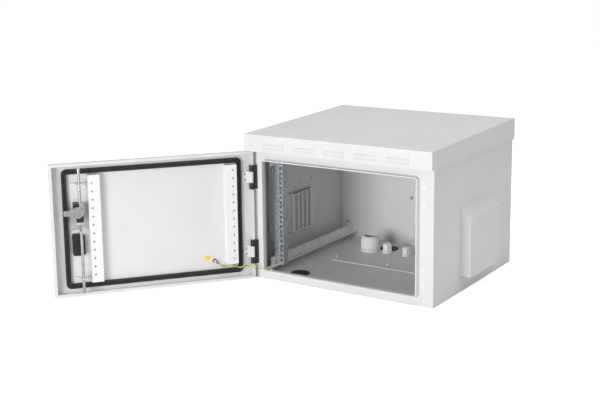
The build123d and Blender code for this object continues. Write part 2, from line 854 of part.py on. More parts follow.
# Gland plate on the floor, its nuts, the blanking plugs and the three glands
plate_top = floor_height + plate_sheet
plate_plugs = [(x, back(depth)) for x, depth in plugs_at[1:]]
with BuildPart() as gland_plate:
    with BuildSketch(level(floor_height)):
        area((plate_left, plate_right), (back(plate_front), back(plate_rear)), plate_corner)
        with Locations(*studs):
            Circle(plate_stud / 2 + screw_play, mode=Mode.SUBTRACT)
        with Locations(*plate_plugs):
            Circle(plug_hole / 2, mode=Mode.SUBTRACT)
        for gland in (large_gland, *small_glands):
            with Locations((gland["x"], back(gland_depth))):
                Circle(gland["thread"] / 2, mode=Mode.SUBTRACT)
    extrude(amount=plate_sheet)
save(gland_plate, "gland_plate")

with BuildPart() as gland_plate_nuts:
    hex_nut(level(plate_top), studs, *nut_m5, plate_stud)
save(gland_plate_nuts, "gland_plate_nuts")

with BuildPart() as blanking_plugs:
    for number, (x, depth) in enumerate(plugs_at):
        seat = floor_height if number == 0 else plate_top
        with BuildSketch(level(seat)):
            with Locations((x, back(depth))):
                Circle(plug_hole / 2 + plug_rim)
        extrude(amount=plug_rise)
        with BuildSketch(level(seat)):
            with Locations((x, back(depth))):
                Circle(plug_hole / 2 - slip)
                Circle(plug_hole / 2 - plug_wall, mode=Mode.SUBTRACT)
        extrude(amount=-plug_depth)
save(blanking_plugs, "blanking_plugs")


def gland_axis(x):
    """Upright plane through a gland's axis, with its height counted from the plate."""
    return Plane((x, back(gland_depth), up(plate_top)), x_dir=(1, 0, 0), z_dir=(0, -1, 0))


def turned(x, *points):
    """Ring turned about a gland's axis from an outline of radius and height."""
    with BuildSketch(gland_axis(x)) as half_section:
        outline(*points)
    revolve(half_section.sketch, axis=Axis((x, back(gland_depth), up(plate_top)), (0, 0, 1)))


def gland_radii(thread, mouth):
    """Barrel, seal seat and bore radii of a gland."""
    barrel = thread / 2
    seat = barrel - 0.5 - thread * 0.03
    bore = min(seat - 1.0, mouth / 2 + 0.5)
    return barrel, seat, bore


def gland_body(x, thread, flange, nut, mouth, height):
    """Threaded body with its flange on the plate."""
    barrel, seat, bore = gland_radii(thread, mouth)
    flange_height = height * gland_flange_share
    foot = -gland_body_foot
    seat_low = height * gland_seat_share
    seat_high = height * gland_body_share
    turned(x, (bore, foot), (barrel - slip, foot), (barrel - slip, 0), (flange / 2, 0),
           (flange / 2, flange_height), (barrel, flange_height), (barrel, seat_high),
           (seat, seat_high), (seat, seat_low), (bore, seat_low))


def gland_seal(x, thread, flange, nut, mouth, height):
    """Rubber ring that the dome nut squeezes."""
    barrel, seat, bore = gland_radii(thread, mouth)
    foot = height * gland_seat_share
    top = height * gland_seal_share
    turned(x, (mouth / 2 - 0.5, foot), (seat, foot), (seat, top), (mouth / 2 - 0.5, top))


def gland_dome(x, thread, flange, nut, mouth, height, sides):
    """Dome nut over the body, hexagonal on the small glands."""
    barrel, seat, bore = gland_radii(thread, mouth)
    corner = nut / 2 if sides == 0 else nut / math.sqrt(3)
    start = height * gland_flange_share + 1.0
    with BuildSketch(gland_axis(x)) as half_section:
        with BuildLine():
            Polyline((mouth / 2, height), (mouth / 2, height * 0.9), (barrel + slip, height * 0.7),
                     (barrel + slip, start), (corner, start), (corner, height * 0.72))
            RadiusArc((corner, height * 0.72), (mouth / 2 + 2.5, height), -corner * 0.9)
            Line((mouth / 2 + 2.5, height), (mouth / 2, height))
        make_face()
    revolve(half_section.sketch, axis=Axis((x, back(gland_depth), up(plate_top)), (0, 0, 1)))
    if sides:
        with BuildSketch(level(plate_top)) as prism:
            with Locations((x, back(gland_depth))):
                RegularPolygon(nut / 2, sides, major_radius=False)
        extrude(prism.sketch, amount=height, mode=Mode.INTERSECT)


def gland_locknut(x, thread, flange, nut, mouth, height):
    """Hexagon locknut under the plate."""
    thickness = 4.0 + thread * 0.05
    with BuildSketch(level(floor_height)) as nut_outline:
        with Locations((x, back(gland_depth))):
            RegularPolygon(thread / 2 + 5.0 - thread * 0.02, 6, major_radius=False, rotation=30)
            Circle(thread / 2 - slip, mode=Mode.SUBTRACT)
    extrude(nut_outline.sketch, amount=-thickness)


with BuildPart() as large_gland_body:
    gland_body(**large_gland)
save(large_gland_body, "large_gland_body")

with BuildPart() as large_gland_seal:
    gland_seal(**large_gland)
save(large_gland_seal, "large_gland_seal")

with BuildPart() as large_gland_dome_nut:
    gland_dome(**large_gland, sides=0)
save(large_gland_dome_nut, "large_gland_dome_nut")

with BuildPart() as large_gland_locknut:
    gland_locknut(**large_gland)
save(large_gland_locknut, "large_gland_locknut")

with BuildPart() as small_gland_bodies:
    for sizes in small_glands:
        gland_body(**sizes)
save(small_gland_bodies, "small_gland_bodies")

with BuildPart() as small_gland_seals:
    for sizes in small_glands:
        gland_seal(**sizes)
save(small_gland_seals, "small_gland_seals")

small_domes = []
for sizes in small_glands:
    with BuildPart() as dome:
        gland_dome(**sizes, sides=6)
    small_domes.append(dome.part)
with BuildPart() as small_gland_dome_nuts:
    for dome_nut in small_domes:
        add(dome_nut)
save(small_gland_dome_nuts, "small_gland_dome_nuts")

with BuildPart() as small_gland_locknuts:
    for sizes in small_glands:
        gland_locknut(**sizes)
save(small_gland_locknuts, "small_gland_locknuts")


# Door panel: folded tray with a narrow return lip, notched round the hinges and cut for the lock
with BuildPart() as door_panel:
    with BuildSketch(level(door_bottom)):
        area((door_left, door_right), (back(skin_front), back(-door_stand_off)))
    extrude(amount=door_top - door_bottom)
    front_face = door_panel.faces().sort_by(Axis.Y)[0]
    fillet(front_face.edges(), radius=door_corner)
    with BuildSketch(level(door_bottom + door_sheet)):
        area((door_left + door_sheet, door_right - door_sheet),
             (back(skin_back), back(-door_stand_off - door_sheet)))
    extrude(amount=door_top - door_bottom - 2 * door_sheet, mode=Mode.SUBTRACT)
    with BuildSketch(facing(-door_stand_off)):
        area((door_left + door_lip, door_right - door_lip),
             (up(door_bottom + door_lip), up(door_top - door_lip)))
    extrude(amount=door_sheet, mode=Mode.SUBTRACT)
    for height in hinge_heights:
        with BuildSketch(level(height - hinge_height / 2 - hinge_notch)):
            area((door_left, door_left + door_lip),
                 (back(-hinge_y - hinge_ear_radius - hinge_notch_depth), back(-door_stand_off)))
        extrude(amount=hinge_height + 2 * hinge_notch, mode=Mode.SUBTRACT)
    with BuildSketch(facing(skin_back)):
        with Locations((lock_x, up(lock_height))):
            Circle(spindle / 2 + spindle_cut)
        area((boss_left - screw_play, boss_right + screw_play),
             (up(boss_bottom - screw_play), up(boss_top + screw_play)), door_cut_corner)
    extrude(amount=door_sheet, mode=Mode.SUBTRACT)
    with BuildSketch(facing(skin_back - door_sheet / 2)):
        with Locations((door_stud_x, up(door_stud_height))):
            Circle(earth_stud / 2)
    extrude(amount=-door_stud_length)
swing(door_panel)
save(door_panel, "door_panel")

# Foamed door gasket with two ridges
with BuildPart() as door_gasket:
    centre_x = opening_half + lip_thickness / 2
    centre_low = opening_bottom - lip_thickness / 2
    centre_high = opening_top + lip_thickness / 2
    half = gasket_width / 2
    gasket_top = -lip_height - door_gap

    def gasket_ring(inset_out, inset_in):
        """Ring between two offsets from the gasket's centre line."""
        area((-centre_x - inset_out, centre_x + inset_out),
             (up(centre_low - inset_out), up(centre_high + inset_out)), gasket_corner + inset_out)
        area((-centre_x + inset_in, centre_x - inset_in),
             (up(centre_low + inset_in), up(centre_high - inset_in)),
             max(gasket_corner - inset_in, 1.0), mode=Mode.SUBTRACT)

    with BuildSketch(facing(gasket_top)):
        gasket_ring(half, half)
    extrude(amount=gasket_top - skin_back)
    with BuildSketch(facing(gasket_top)):
        gasket_ring(gasket_groove / 2, gasket_groove / 2)
    extrude(amount=gasket_groove_depth, mode=Mode.SUBTRACT)
swing(door_gasket)
save(door_gasket, "door_gasket")


# Perforated rails on the inside of the door: folded channels with a row of holes
lock_side = {"name": "lock_side", "x_range": (155.0, 189.0), "hole_x": 177.5, "bottom": 38.0}
hinge_side = {"name": "hinge_side", "x_range": (-244.0, -210.0), "hole_x": -233.0, "bottom": 52.0}
for door_rail in (lock_side, hinge_side):
    x_range = door_rail["x_range"]
    stay_bottom = door_rail["bottom"]
    with BuildPart() as stay:
        with BuildSketch(level(stay_bottom)):
            area(x_range, (back(skin_back), back(skin_back + rail_height_on_door)))
            area((x_range[0] + sheet, x_range[1] - sheet),
                 (back(skin_back), back(skin_back + rail_height_on_door - sheet)), mode=Mode.SUBTRACT)
        extrude(amount=stay_top - stay_bottom)
        with BuildSketch(facing(skin_back + rail_height_on_door)):
            with Locations((door_rail["hole_x"], up((stay_top + stay_bottom) / 2))):
                with GridLocations(1, stay_hole_pitch, 1, int((stay_top - stay_bottom) / stay_hole_pitch)):
                    Circle(stay_hole / 2)
        extrude(amount=sheet, mode=Mode.SUBTRACT)
    swing(stay)
    save(stay, f"{door_rail['name']}_door_rail")


# Hinges: forks bolted to the front frame, pins through them, and leaves on the door
for height, name in zip(hinge_heights, ("upper", "lower")):
    with BuildPart() as fork:
        with BuildSketch(level(height - hinge_height / 2)):
            outline((fork_left, back(0)), (fork_right, back(0)), (fork_right, back(-fork_block)),
                    (hinge_x + hinge_ear_radius, back(-hinge_y)),
                    (hinge_x - hinge_ear_radius, back(-hinge_y)), (fork_left, back(-fork_block)))
            with Locations((hinge_x, back(-hinge_y))):
                Circle(hinge_ear_radius)
        extrude(amount=hinge_height)
        with BuildSketch(level(height - hinge_gap / 2)):
            area((hinge_x - hinge_ear_radius, fork_right),
                 (back(-hinge_y - hinge_ear_radius), back(-fork_block)))
        extrude(amount=hinge_gap, mode=Mode.SUBTRACT)
        with BuildSketch(level(height - hinge_height / 2)):
            with Locations((hinge_x, back(-hinge_y))):
                Circle(hinge_pin / 2)
        extrude(amount=hinge_height, mode=Mode.SUBTRACT)
        with BuildSketch(facing(0)):
            for row in (-1, 1):
                with Locations((fork_screw_x, up(height + row * fork_screw_pitch / 2))):
                    Circle(fork_screw / 2)
        extrude(amount=fork_hole_depth, mode=Mode.SUBTRACT)
    save(fork, f"{name}_hinge_fork")

    with BuildPart() as leaf:
        knuckle_height = hinge_gap - 2 * door_gap
        with BuildSketch(level(height - knuckle_height / 2)):
            with Locations((hinge_x, back(-hinge_y))):
                Circle(hinge_knuckle / 2)
            outline((hinge_x, back(-hinge_y + hinge_knuckle / 2)),
                    (hinge_x + leaf_root, back(skin_back + leaf_root_rise)),
                    (hinge_x + leaf_root, back(skin_back)),
                    (hinge_x - leaf_heel, back(skin_back)), (hinge_x - hinge_knuckle / 2, back(-hinge_y)))
            area((hinge_x - leaf_heel, hinge_x + leaf_reach),
                 (back(skin_back), back(skin_back + leaf_sheet)))
            with Locations((hinge_x, back(-hinge_y))):
                Circle(hinge_pin / 2 + pin_play, mode=Mode.SUBTRACT)
        extrude(amount=knuckle_height)
        with BuildSketch(facing(skin_back + leaf_sheet)):
            with Locations((hinge_x + leaf_reach - leaf_hole_edge, up(height - leaf_hole_rise)),
                           (hinge_x + leaf_reach - leaf_hole_edge, up(height + leaf_hole_rise))):
                Circle(leaf_hole / 2)
        extrude(amount=leaf_sheet, mode=Mode.SUBTRACT)
    swing(leaf)
    save(leaf, f"{name}_hinge_leaf")

with BuildPart() as hinge_pins:
    for height in hinge_heights:
        with BuildSketch(level(height - hinge_height / 2)):
            with Locations((hinge_x, back(-hinge_y))):
                Circle(hinge_pin / 2)
        extrude(amount=hinge_height)
        with BuildSketch(level(height + hinge_height / 2)):
            with Locations((hinge_x, back(-hinge_y))):
                Circle(hinge_pin_head / 2)
        extrude(amount=hinge_pin_head_height)
save(hinge_pins, "hinge_pins")

with BuildPart() as leaf_screws:
    leaf_places = []
    for height in hinge_heights:
        for shift in (-leaf_hole_rise, leaf_hole_rise):
            leaf_places.append((hinge_x + leaf_reach - leaf_hole_edge, up(height + shift)))
    with BuildSketch(facing(skin_back)):
        with Locations(*leaf_places):
            Circle(leaf_hole / 2)
    extrude(amount=-leaf_sheet)
    with BuildSketch(facing(skin_back + leaf_sheet + leaf_head_rise)):
        with Locations(*leaf_places):
            Circle(leaf_head / 2)
    extrude(amount=leaf_head_rise)
swing(leaf_screws)
save(leaf_screws, "leaf_screws")


# Lock: box inside the door, spindle, cam with its nose, two rods with flat ends and their guides
def lock_axis(depth):
    """Upright plane on the lock's axis."""
    return Plane((lock_x, back(depth), up(lock_height)), x_dir=(1, 0, 0), z_dir=(0, -1, 0))


with BuildPart() as lock_box:
    with BuildSketch(lock_axis(box_depth)) as box_outline:
        area((box_left - lock_x, box_right - lock_x), (box_bottom - lock_height, box_top - lock_height),
             box_corner)
        Circle(spindle / 2 + slip / 2, mode=Mode.SUBTRACT)
    extrude(amount=box_depth - skin_back)
swing(lock_box)
save(lock_box, "lock_box")

with BuildPart() as lock_spindle:
    with BuildSketch(lock_axis(cam_depth - spindle_end)):
        Circle(spindle / 2)
    extrude(amount=cam_depth - spindle_end - base_front + slip)
    with BuildSketch(lock_axis(cam_depth + cam_thickness)):
        Rectangle(spindle_square, spindle_square)
    extrude(amount=cam_thickness + spindle_tip)
    with BuildSketch(Plane.YZ.offset(lock_x - clevis / 2)):
        with Locations((back(handle_axis), up(lock_height))):
            Circle(handle_head - clevis_round)
        area((back(handle_axis), back(base_front - slip / 2)),
             (up(lock_height - handle_head + clevis_flat), up(lock_height + handle_head - clevis_flat)))
        with Locations((back(handle_axis), up(lock_height))):
            Circle(handle_pin / 2 + pin_play, mode=Mode.SUBTRACT)
    extrude(amount=clevis)
swing(lock_spindle)
save(lock_spindle, "lock_spindle")

with BuildPart() as lock_cam:
    with BuildSketch(lock_axis(cam_depth + cam_thickness)):
        Circle(cam_pin_offset * math.sqrt(2) + cam_pin / 2 + cam_rim)
        area((0, cam_reach - lock_x), (-cam_arm / 2, cam_arm / 2), cam_corner)
        Rectangle(spindle_square, spindle_square, mode=Mode.SUBTRACT)
    extrude(amount=cam_thickness)
    with BuildSketch(lock_axis(cam_depth + cam_thickness + flat_thickness + cam_pin_end)):
        with Locations((-cam_pin_offset, cam_pin_offset), (cam_pin_offset, -cam_pin_offset)):
            Circle(cam_pin / 2)
    extrude(amount=flat_thickness + cam_pin_end)
swing(lock_cam)
save(lock_cam, "lock_cam")

flat_depth = cam_depth + cam_thickness + slip + flat_thickness
slot_long = cam_pin_offset * (math.sqrt(2) - 1) + cam_pin + slot_play_long
slot_middle = cam_pin_offset * (math.sqrt(2) + 1) / 2
for name, side, rod_tip, rod_root in (("upper", -1, rod_end, lock_height + 34.0),
                                      ("lower", 1, rod_foot, lock_height - 52.0)):
    grow = 1 if name == "upper" else -1
    with BuildPart() as rod:
        with BuildSketch(level(rod_root)):
            with Locations((rod_x, back(rod_depth))):
                Circle(rod_diameter / 2)
        extrude(amount=rod_tip - rod_root)
        tip = rod.faces().sort_by(Axis.Z)[-1 if grow > 0 else 0]
        chamfer(tip.edges(), length=rod_chamfer)
        with BuildSketch(lock_axis(flat_depth)):
            shift = rod_x - lock_x
            if grow > 0:
                area((-slot_middle - flat_overlap, -flat_inner), (cam_pin_offset - 7.0, 32.0), flat_corner)
                area((shift - rod_diameter / 2, shift + rod_diameter / 2), (26.0, 42.0))
            else:
                area((flat_inner, slot_middle + flat_overlap), (-48.0, -cam_pin_offset + 7.0), flat_corner)
                area((shift - rod_diameter / 2, slot_middle + flat_overlap), (-48.0, -36.0), flat_corner)
                area((shift - rod_diameter / 2, shift + rod_diameter / 2), (-60.0, -42.0))
            with Locations((side * slot_middle, grow * cam_pin_offset)):
                SlotOverall(slot_long, cam_pin + slot_play, mode=Mode.SUBTRACT)
        extrude(amount=flat_thickness)
    swing(rod)
    save(rod, f"{name}_rod")

with BuildPart() as rod_guides:
    for height in guide_heights:
        with BuildSketch(facing(skin_back + sheet)):
            area((rod_x - guide_half, rod_x + guide_half),
                 (up(height - guide_foot), up(height + guide_foot)),
                 box_corner)
        extrude(amount=sheet)
        with BuildSketch(level(height - sheet / 2)):
            outline((rod_x - guide_half, back(skin_back)), (rod_x + guide_half, back(skin_back)),
                    (rod_x + guide_half, back(skin_back + guide_rise)),
                    (rod_x + guide_inner, back(rod_depth - guide_shoulder)),
                    (rod_x + guide_inner, back(rod_depth + guide_top)),
                    (rod_x - guide_inner, back(rod_depth + guide_top)),
                    (rod_x - guide_inner, back(rod_depth - guide_shoulder)),
                    (rod_x - guide_half, back(skin_back + guide_rise)))
            with Locations((rod_x, back(rod_depth))):
                Circle(rod_diameter / 2 + slip, mode=Mode.SUBTRACT)
        extrude(amount=sheet)
swing(rod_guides)
save(rod_guides, "rod_guides")


# Handle: base on the outside with a boss through the door, swing handle, its pin and the key cylinder
with BuildPart() as handle_base:
    with BuildSketch(facing(skin_front)):
        area((lock_x - base_width / 2, lock_x + base_width / 2), (up(base_bottom), up(base_top)),
             base_corner)
        with Locations((lock_x, up(lock_height))):
            Circle(spindle / 2 + slip / 2, mode=Mode.SUBTRACT)
    extrude(amount=skin_front - base_front)
    outer_edges = handle_base.faces().sort_by(Axis.Y)[0].outer_wire().edges()
    chamfer(outer_edges, length=base_chamfer)
    with BuildSketch(facing(boss_depth)):
        area((boss_left, boss_right), (up(boss_bottom), up(boss_top)), boss_corner)
    extrude(amount=boss_depth - skin_front)
    with BuildSketch(facing(key_depth)):
        with Locations((lock_x, up(key_height))):
            Circle(key_diameter / 2 + slip / 2)
    extrude(amount=key_depth - base_front + 1, mode=Mode.SUBTRACT)
swing(handle_base)
save(handle_base, "handle_base")

with BuildPart() as key_cylinder:
    with BuildSketch(facing(key_depth)):
        with Locations((lock_x, up(key_height))):
            Circle(key_diameter / 2)
    extrude(amount=key_depth - base_front + 3 * key_rise)
    with BuildSketch(facing(base_front - key_rise)):
        with Locations((lock_x, up(key_height))):
            Rectangle(key_slot_width, key_slot_height)
    extrude(amount=key_slot_depth, mode=Mode.SUBTRACT)
swing(key_cylinder)
save(key_cylinder, "key_cylinder")

with BuildPart() as swing_handle:
    with BuildSketch(Plane.YZ.offset(lock_x - handle_width / 2)):
        with Locations((back(handle_axis), up(lock_height))):
            Circle(handle_head)
        outline((back(handle_axis - handle_head), up(lock_height)),
                (back(handle_axis + handle_head), up(lock_height)),
                (back(base_front - door_gap), up(lock_height - handle_heel)),
                (back(base_front - door_gap), up(handle_end + handle_lip)),
                (back(base_front - door_gap - handle_lip), up(handle_end)),
                (back(handle_axis), up(handle_end)),
                (back(handle_axis - handle_lip), up(handle_end + handle_taper)))
    extrude(amount=handle_width)
    with BuildSketch(Plane.YZ.offset(lock_x - clevis / 2 - slip)):
        with Locations((back(handle_axis), up(lock_height))):
            Circle(handle_head - clevis_gap)
        area((back(handle_axis), back(base_front)),
             (up(lock_height - handle_head + clevis_gap), up(lock_height + handle_head)))
        area((back(handle_axis - handle_head), back(base_front)),
             (up(lock_height), up(lock_height + handle_head + clevis_gap)))
    extrude(amount=clevis + 2 * slip, mode=Mode.SUBTRACT)
    with BuildSketch(Plane.YZ.offset(lock_x - handle_width / 2)):
        with Locations((back(handle_axis), up(lock_height))):
            Circle(handle_pin / 2)
    extrude(amount=handle_width, mode=Mode.SUBTRACT)
swing(swing_handle)
save(swing_handle, "swing_handle")

with BuildPart() as handle_pin_piece:
    with BuildSketch(Plane.YZ.offset(lock_x - handle_width / 2)):
        with Locations((back(handle_axis), up(lock_height))):
            Circle(handle_pin / 2)
    extrude(amount=handle_width)
swing(handle_pin_piece)
save(handle_pin_piece, "handle_pin")

with BuildPart() as fork_screws:
    bolt(Plane((0, back(sheet), 0), x_dir=(-1, 0, 0), z_dir=(0, 1, 0)),
         [(-x, z) for x, z in fork_screws_at], fork_screw, sheet + fork_screw_grip,
         fork_screw_head, fork_screw_rise)
save(fork_screws, "fork_screws")


# Earth terminals: ring lug under a nut on each stud, the lead between them and the earth mark
def ring_lug(plane, direction):
    """Ring lug flat on the plane, with its round sleeve along the direction in degrees."""
    angle = math.radians(direction)
    with BuildSketch(plane) as ring:
        Circle(lug_ring / 2)
        with Locations((lug_neck_reach * math.cos(angle), lug_neck_reach * math.sin(angle))):
            Rectangle(lug_neck_length, lug_neck, rotation=direction)
        Circle(earth_stud / 2 + slip, mode=Mode.SUBTRACT)
    extrude(ring.sketch, amount=lug_sheet)
    along = plane.x_dir * math.cos(angle) + plane.y_dir * math.sin(angle)
    start = plane.origin + along * (lug_length - lug_sleeve) + plane.z_dir * (lead_diameter / 2 + lug_sheet)
    with BuildSketch(Plane(start, x_dir=plane.z_dir, z_dir=along)) as sleeve:
        Circle(lead_diameter / 2 + lug_sleeve_wall)
    extrude(sleeve.sketch, amount=lug_sleeve)


door_terminal_plane = Plane((door_stud_x, back(skin_back), up(door_stud_height)),
                            x_dir=(-1, 0, 0), z_dir=(0, 1, 0))
body_terminal_plane = Plane((body_stud_x, back(sheet), up(body_stud_height)),
                            x_dir=(-1, 0, 0), z_dir=(0, 1, 0))
with BuildPart() as door_earth_terminal:
    ring_lug(door_terminal_plane, door_lug_angle)
    hex_nut(door_terminal_plane.offset(lug_sheet), [(0, 0)], *earth_nut, earth_stud)
swing(door_earth_terminal)
save(door_earth_terminal, "door_earth_terminal")

with BuildPart() as body_earth_terminal:
    ring_lug(body_terminal_plane, body_lug_angle)
    hex_nut(body_terminal_plane.offset(lug_sheet), [(0, 0)], *earth_nut, earth_stud)
save(body_earth_terminal, "body_earth_terminal")

with BuildPart() as earth_mark:
    with BuildSketch(facing(skin_back + mark_thickness)):
        with Locations((mark_x, up(mark_height))):
            Circle(mark_width / 2)
    extrude(amount=mark_thickness)
swing(earth_mark)
save(earth_mark, "earth_mark")


# Earth lead: from the sleeve on the door, over the gasket and the door's edge, past the hinge and
# over the sealing lip to the sleeve behind the front frame
lead_route = [
    (-364.7, -626.9, -142.7),
    (-358.6, -619.4, -151.4),
    (-342.8, -611.5, -153.0),
    (-328.2, -597.6, -147.6),
    (-315.1, -584.1, -161.0),
    (-304.1, -575.5, -150.1),
    (-292.0, -566.9, -159.5),
    (-278.4, -556.7, -156.0),
    (-266, -556, -162.7),
    (-252, -556, -161.5),
    (-243, -546, -162.1),
    (-237.2, -533.8, -163.6),
    (-230.5, -533.8, -168.0),
]


def arc_radii(points):
    """Radius of the arc at each corner: 0.45 of the shorter run over the tangent of half the turn."""
    radii = []
    for before, at, after in zip(points, points[1:], points[2:]):
        run_in = Vector(*at) - Vector(*before)
        run_out = Vector(*after) - Vector(*at)
        turn = math.radians(run_in.get_angle(run_out))
        radii.append(0.45 * min(run_in.length, run_out.length) / math.tan(turn / 2))
    return radii


lead_radii = arc_radii(lead_route)
print("lead radii", [round(radius, 1) for radius in lead_radii])
with BuildPart() as earth_lead:
    with BuildLine() as lead_path:
        FilletPolyline(*lead_route, radius=lead_radii)
    lead_start = Vector(*lead_route[0])
    with BuildSketch(Plane(lead_start, z_dir=Vector(*lead_route[1]) - lead_start)):
        Circle(lead_diameter / 2)
    sweep(path=lead_path.line)
lead_section = math.pi * lead_diameter ** 2 / 4
lead_length = sum(edge.length for edge in lead_path.line.edges())
print("lead length", round(lead_length, 1), "volume ratio",
      round(earth_lead.part.volume / (lead_section * lead_length), 4))
save(earth_lead, "earth_lead")
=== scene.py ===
"""Outdoor equipment cabinet with its door open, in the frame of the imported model: metres, +Z up."""
import math

import bmesh
import bpy
from mathutils import Matrix, Vector


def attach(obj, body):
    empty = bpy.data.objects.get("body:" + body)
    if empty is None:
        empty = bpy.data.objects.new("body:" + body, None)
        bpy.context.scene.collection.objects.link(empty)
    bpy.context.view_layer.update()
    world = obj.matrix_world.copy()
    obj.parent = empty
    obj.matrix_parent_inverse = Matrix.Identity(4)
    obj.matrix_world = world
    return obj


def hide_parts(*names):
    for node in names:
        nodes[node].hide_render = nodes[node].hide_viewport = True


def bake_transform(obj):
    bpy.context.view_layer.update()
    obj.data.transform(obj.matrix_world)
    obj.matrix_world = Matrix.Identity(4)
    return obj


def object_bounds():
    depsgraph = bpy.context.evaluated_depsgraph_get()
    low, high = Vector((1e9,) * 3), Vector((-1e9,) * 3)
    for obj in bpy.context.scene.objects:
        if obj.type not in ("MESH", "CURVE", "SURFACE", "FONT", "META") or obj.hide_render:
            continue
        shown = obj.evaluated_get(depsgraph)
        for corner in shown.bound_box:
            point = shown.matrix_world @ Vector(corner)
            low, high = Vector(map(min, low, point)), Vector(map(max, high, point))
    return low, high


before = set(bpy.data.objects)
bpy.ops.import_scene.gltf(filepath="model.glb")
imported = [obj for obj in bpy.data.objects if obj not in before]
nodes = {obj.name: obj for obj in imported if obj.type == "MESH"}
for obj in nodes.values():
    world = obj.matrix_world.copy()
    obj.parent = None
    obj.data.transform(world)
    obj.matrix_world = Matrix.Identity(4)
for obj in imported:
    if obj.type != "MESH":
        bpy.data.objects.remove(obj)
model_box = [list(map(float, corner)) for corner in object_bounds()]


# Camera at the photograph's place: in front of the cabinet and to its right, above the roof, with
# a long lens. It was fitted to corners picked in the photograph, with the shift held at this value.
picture_width = 600.0
camera_focal = 1111.7
camera_shift = 40.0
camera_place = (1.5858, -3.1658, 0.7857)
camera_turn = math.radians(33.099)
camera_dip = math.radians(10.957)
camera_roll = math.radians(-0.73)
camera_ahead = Vector((-math.sin(camera_turn) * math.cos(camera_dip),
                       math.cos(camera_turn) * math.cos(camera_dip), -math.sin(camera_dip)))
camera_level = Vector((math.cos(camera_turn), math.sin(camera_turn), 0))
camera_above = camera_level.cross(camera_ahead)
camera_right = camera_level * math.cos(camera_roll) + camera_above * math.sin(camera_roll)
camera_up = camera_above * math.cos(camera_roll) - camera_level * math.sin(camera_roll)
camera_data = bpy.data.cameras.new("camera")
camera_data.sensor_width = 36.0
camera_data.lens = camera_focal / picture_width * camera_data.sensor_width
camera_data.shift_y = -camera_shift / picture_width
camera_data.dof.use_dof = False
camera = bpy.data.objects.new("camera", camera_data)
camera.matrix_world = Matrix((
    (camera_right.x, camera_up.x, -camera_ahead.x, camera_place[0]),
    (camera_right.y, camera_up.y, -camera_ahead.y, camera_place[1]),
    (camera_right.z, camera_up.z, -camera_ahead.z, camera_place[2]),
    (0, 0, 0, 1)))
bpy.context.scene.collection.objects.link(camera)
bpy.context.scene.camera = camera
bpy.context.scene.view_settings.view_transform = "Standard"


# Earth lead: a stranded copper wire in green and yellow insulation, 3 mm thick. It runs from the
# ring lug on the door over the gasket and past the hinge to the ring lug behind the front frame.
lead_radius = 0.0015
lead_sides = 12
lead_resolution = 12
lead_order = 3
turns_per_metre = 28.0
green_from = 0.60
green_full = 0.64
lead_route = [
    (-0.3647, -0.6269, -0.1427), (-0.3586, -0.6194, -0.1514), (-0.3428, -0.6115, -0.1530),
    (-0.3282, -0.5976, -0.1476), (-0.3151, -0.5841, -0.1610), (-0.3041, -0.5755, -0.1501),
    (-0.2920, -0.5669, -0.1595), (-0.2784, -0.5567, -0.1560), (-0.2660, -0.5560, -0.1627),
    (-0.2520, -0.5560, -0.1615), (-0.2430, -0.5460, -0.1621), (-0.2372, -0.5338, -0.1636),
    (-0.2305, -0.5338, -0.1680),
]


def place_object(name, data):
    """Put a mesh or curve into the scene as an object at the origin."""
    piece = bpy.data.objects.new(name, data)
    bpy.context.scene.collection.objects.link(piece)
    return piece


def lead_line(route):
    """Points along the smooth spline whose control points are the route."""
    curve = bpy.data.curves.new("lead_line", "CURVE")
    curve.dimensions = "3D"
    curve.resolution_u = lead_resolution
    spline = curve.splines.new("NURBS")
    spline.points.add(len(route) - 1)
    for point, place in zip(spline.points, route):
        point.co = (*place, 1.0)
    spline.order_u = lead_order
    spline.use_endpoint_u = True
    carrier = place_object("lead_line", curve)
    bpy.context.view_layer.update()
    mesh = bpy.data.meshes.new_from_object(carrier)
    points = [vertex.co.copy() for vertex in mesh.vertices]
    bpy.data.objects.remove(carrier)
    return points


def lead_tube(points):
    """Round wire along the points; its UV map runs round the wire in U and in metres along it in V."""
    shape = bmesh.new()
    uv_map = shape.loops.layers.uv.new("UVMap")
    rings = []
    runs = [0.0]
    for first, second in zip(points, points[1:]):
        runs.append(runs[-1] + (second - first).length)
    side = Vector((0, 0, 1))
    for index, point in enumerate(points):
        ahead = points[min(index + 1, len(points) - 1)] - points[max(index - 1, 0)]
        ahead.normalize()
        side = (side - ahead * side.dot(ahead)).normalized()
        other = ahead.cross(side)
        ring = []
        for step in range(lead_sides):
            angle = 2 * math.pi * step / lead_sides
            ring.append(shape.verts.new(point + lead_radius * (side * math.cos(angle)
                                                               + other * math.sin(angle))))
        rings.append(ring)
    for index in range(len(rings) - 1):
        for step in range(lead_sides):
            after = (step + 1) % lead_sides
            face = shape.faces.new((rings[index][step], rings[index][after],
                                    rings[index + 1][after], rings[index + 1][step]))
            face.smooth = True
            turns = (step, step + 1, step + 1, step)
            lengths = (runs[index], runs[index], runs[index + 1], runs[index + 1])
            for loop, turn, length in zip(face.loops, turns, lengths):
                loop[uv_map].uv = (turn / lead_sides, length)
    shape.faces.new(list(reversed(rings[0])))
    shape.faces.new(rings[-1])
    bmesh.ops.recalc_face_normals(shape, faces=shape.faces)
    data = bpy.data.meshes.new("earth_lead_wire")
    shape.to_mesh(data)
    shape.free()
    return data


def new_finish(name, colour, roughness, metallic=0.0):
    """Material with its node tree, its shader and the piece's own coordinates."""
    material = bpy.data.materials.new(name)
    material.use_nodes = True
    tree = material.node_tree
    shader = tree.nodes["Principled BSDF"]
    shader.inputs["Base Color"].default_value = (*colour, 1.0)
    shader.inputs["Roughness"].default_value = roughness
    shader.inputs["Metallic"].default_value = metallic
    coordinates = tree.nodes.new("ShaderNodeTexCoord")
    return material, tree, shader, coordinates


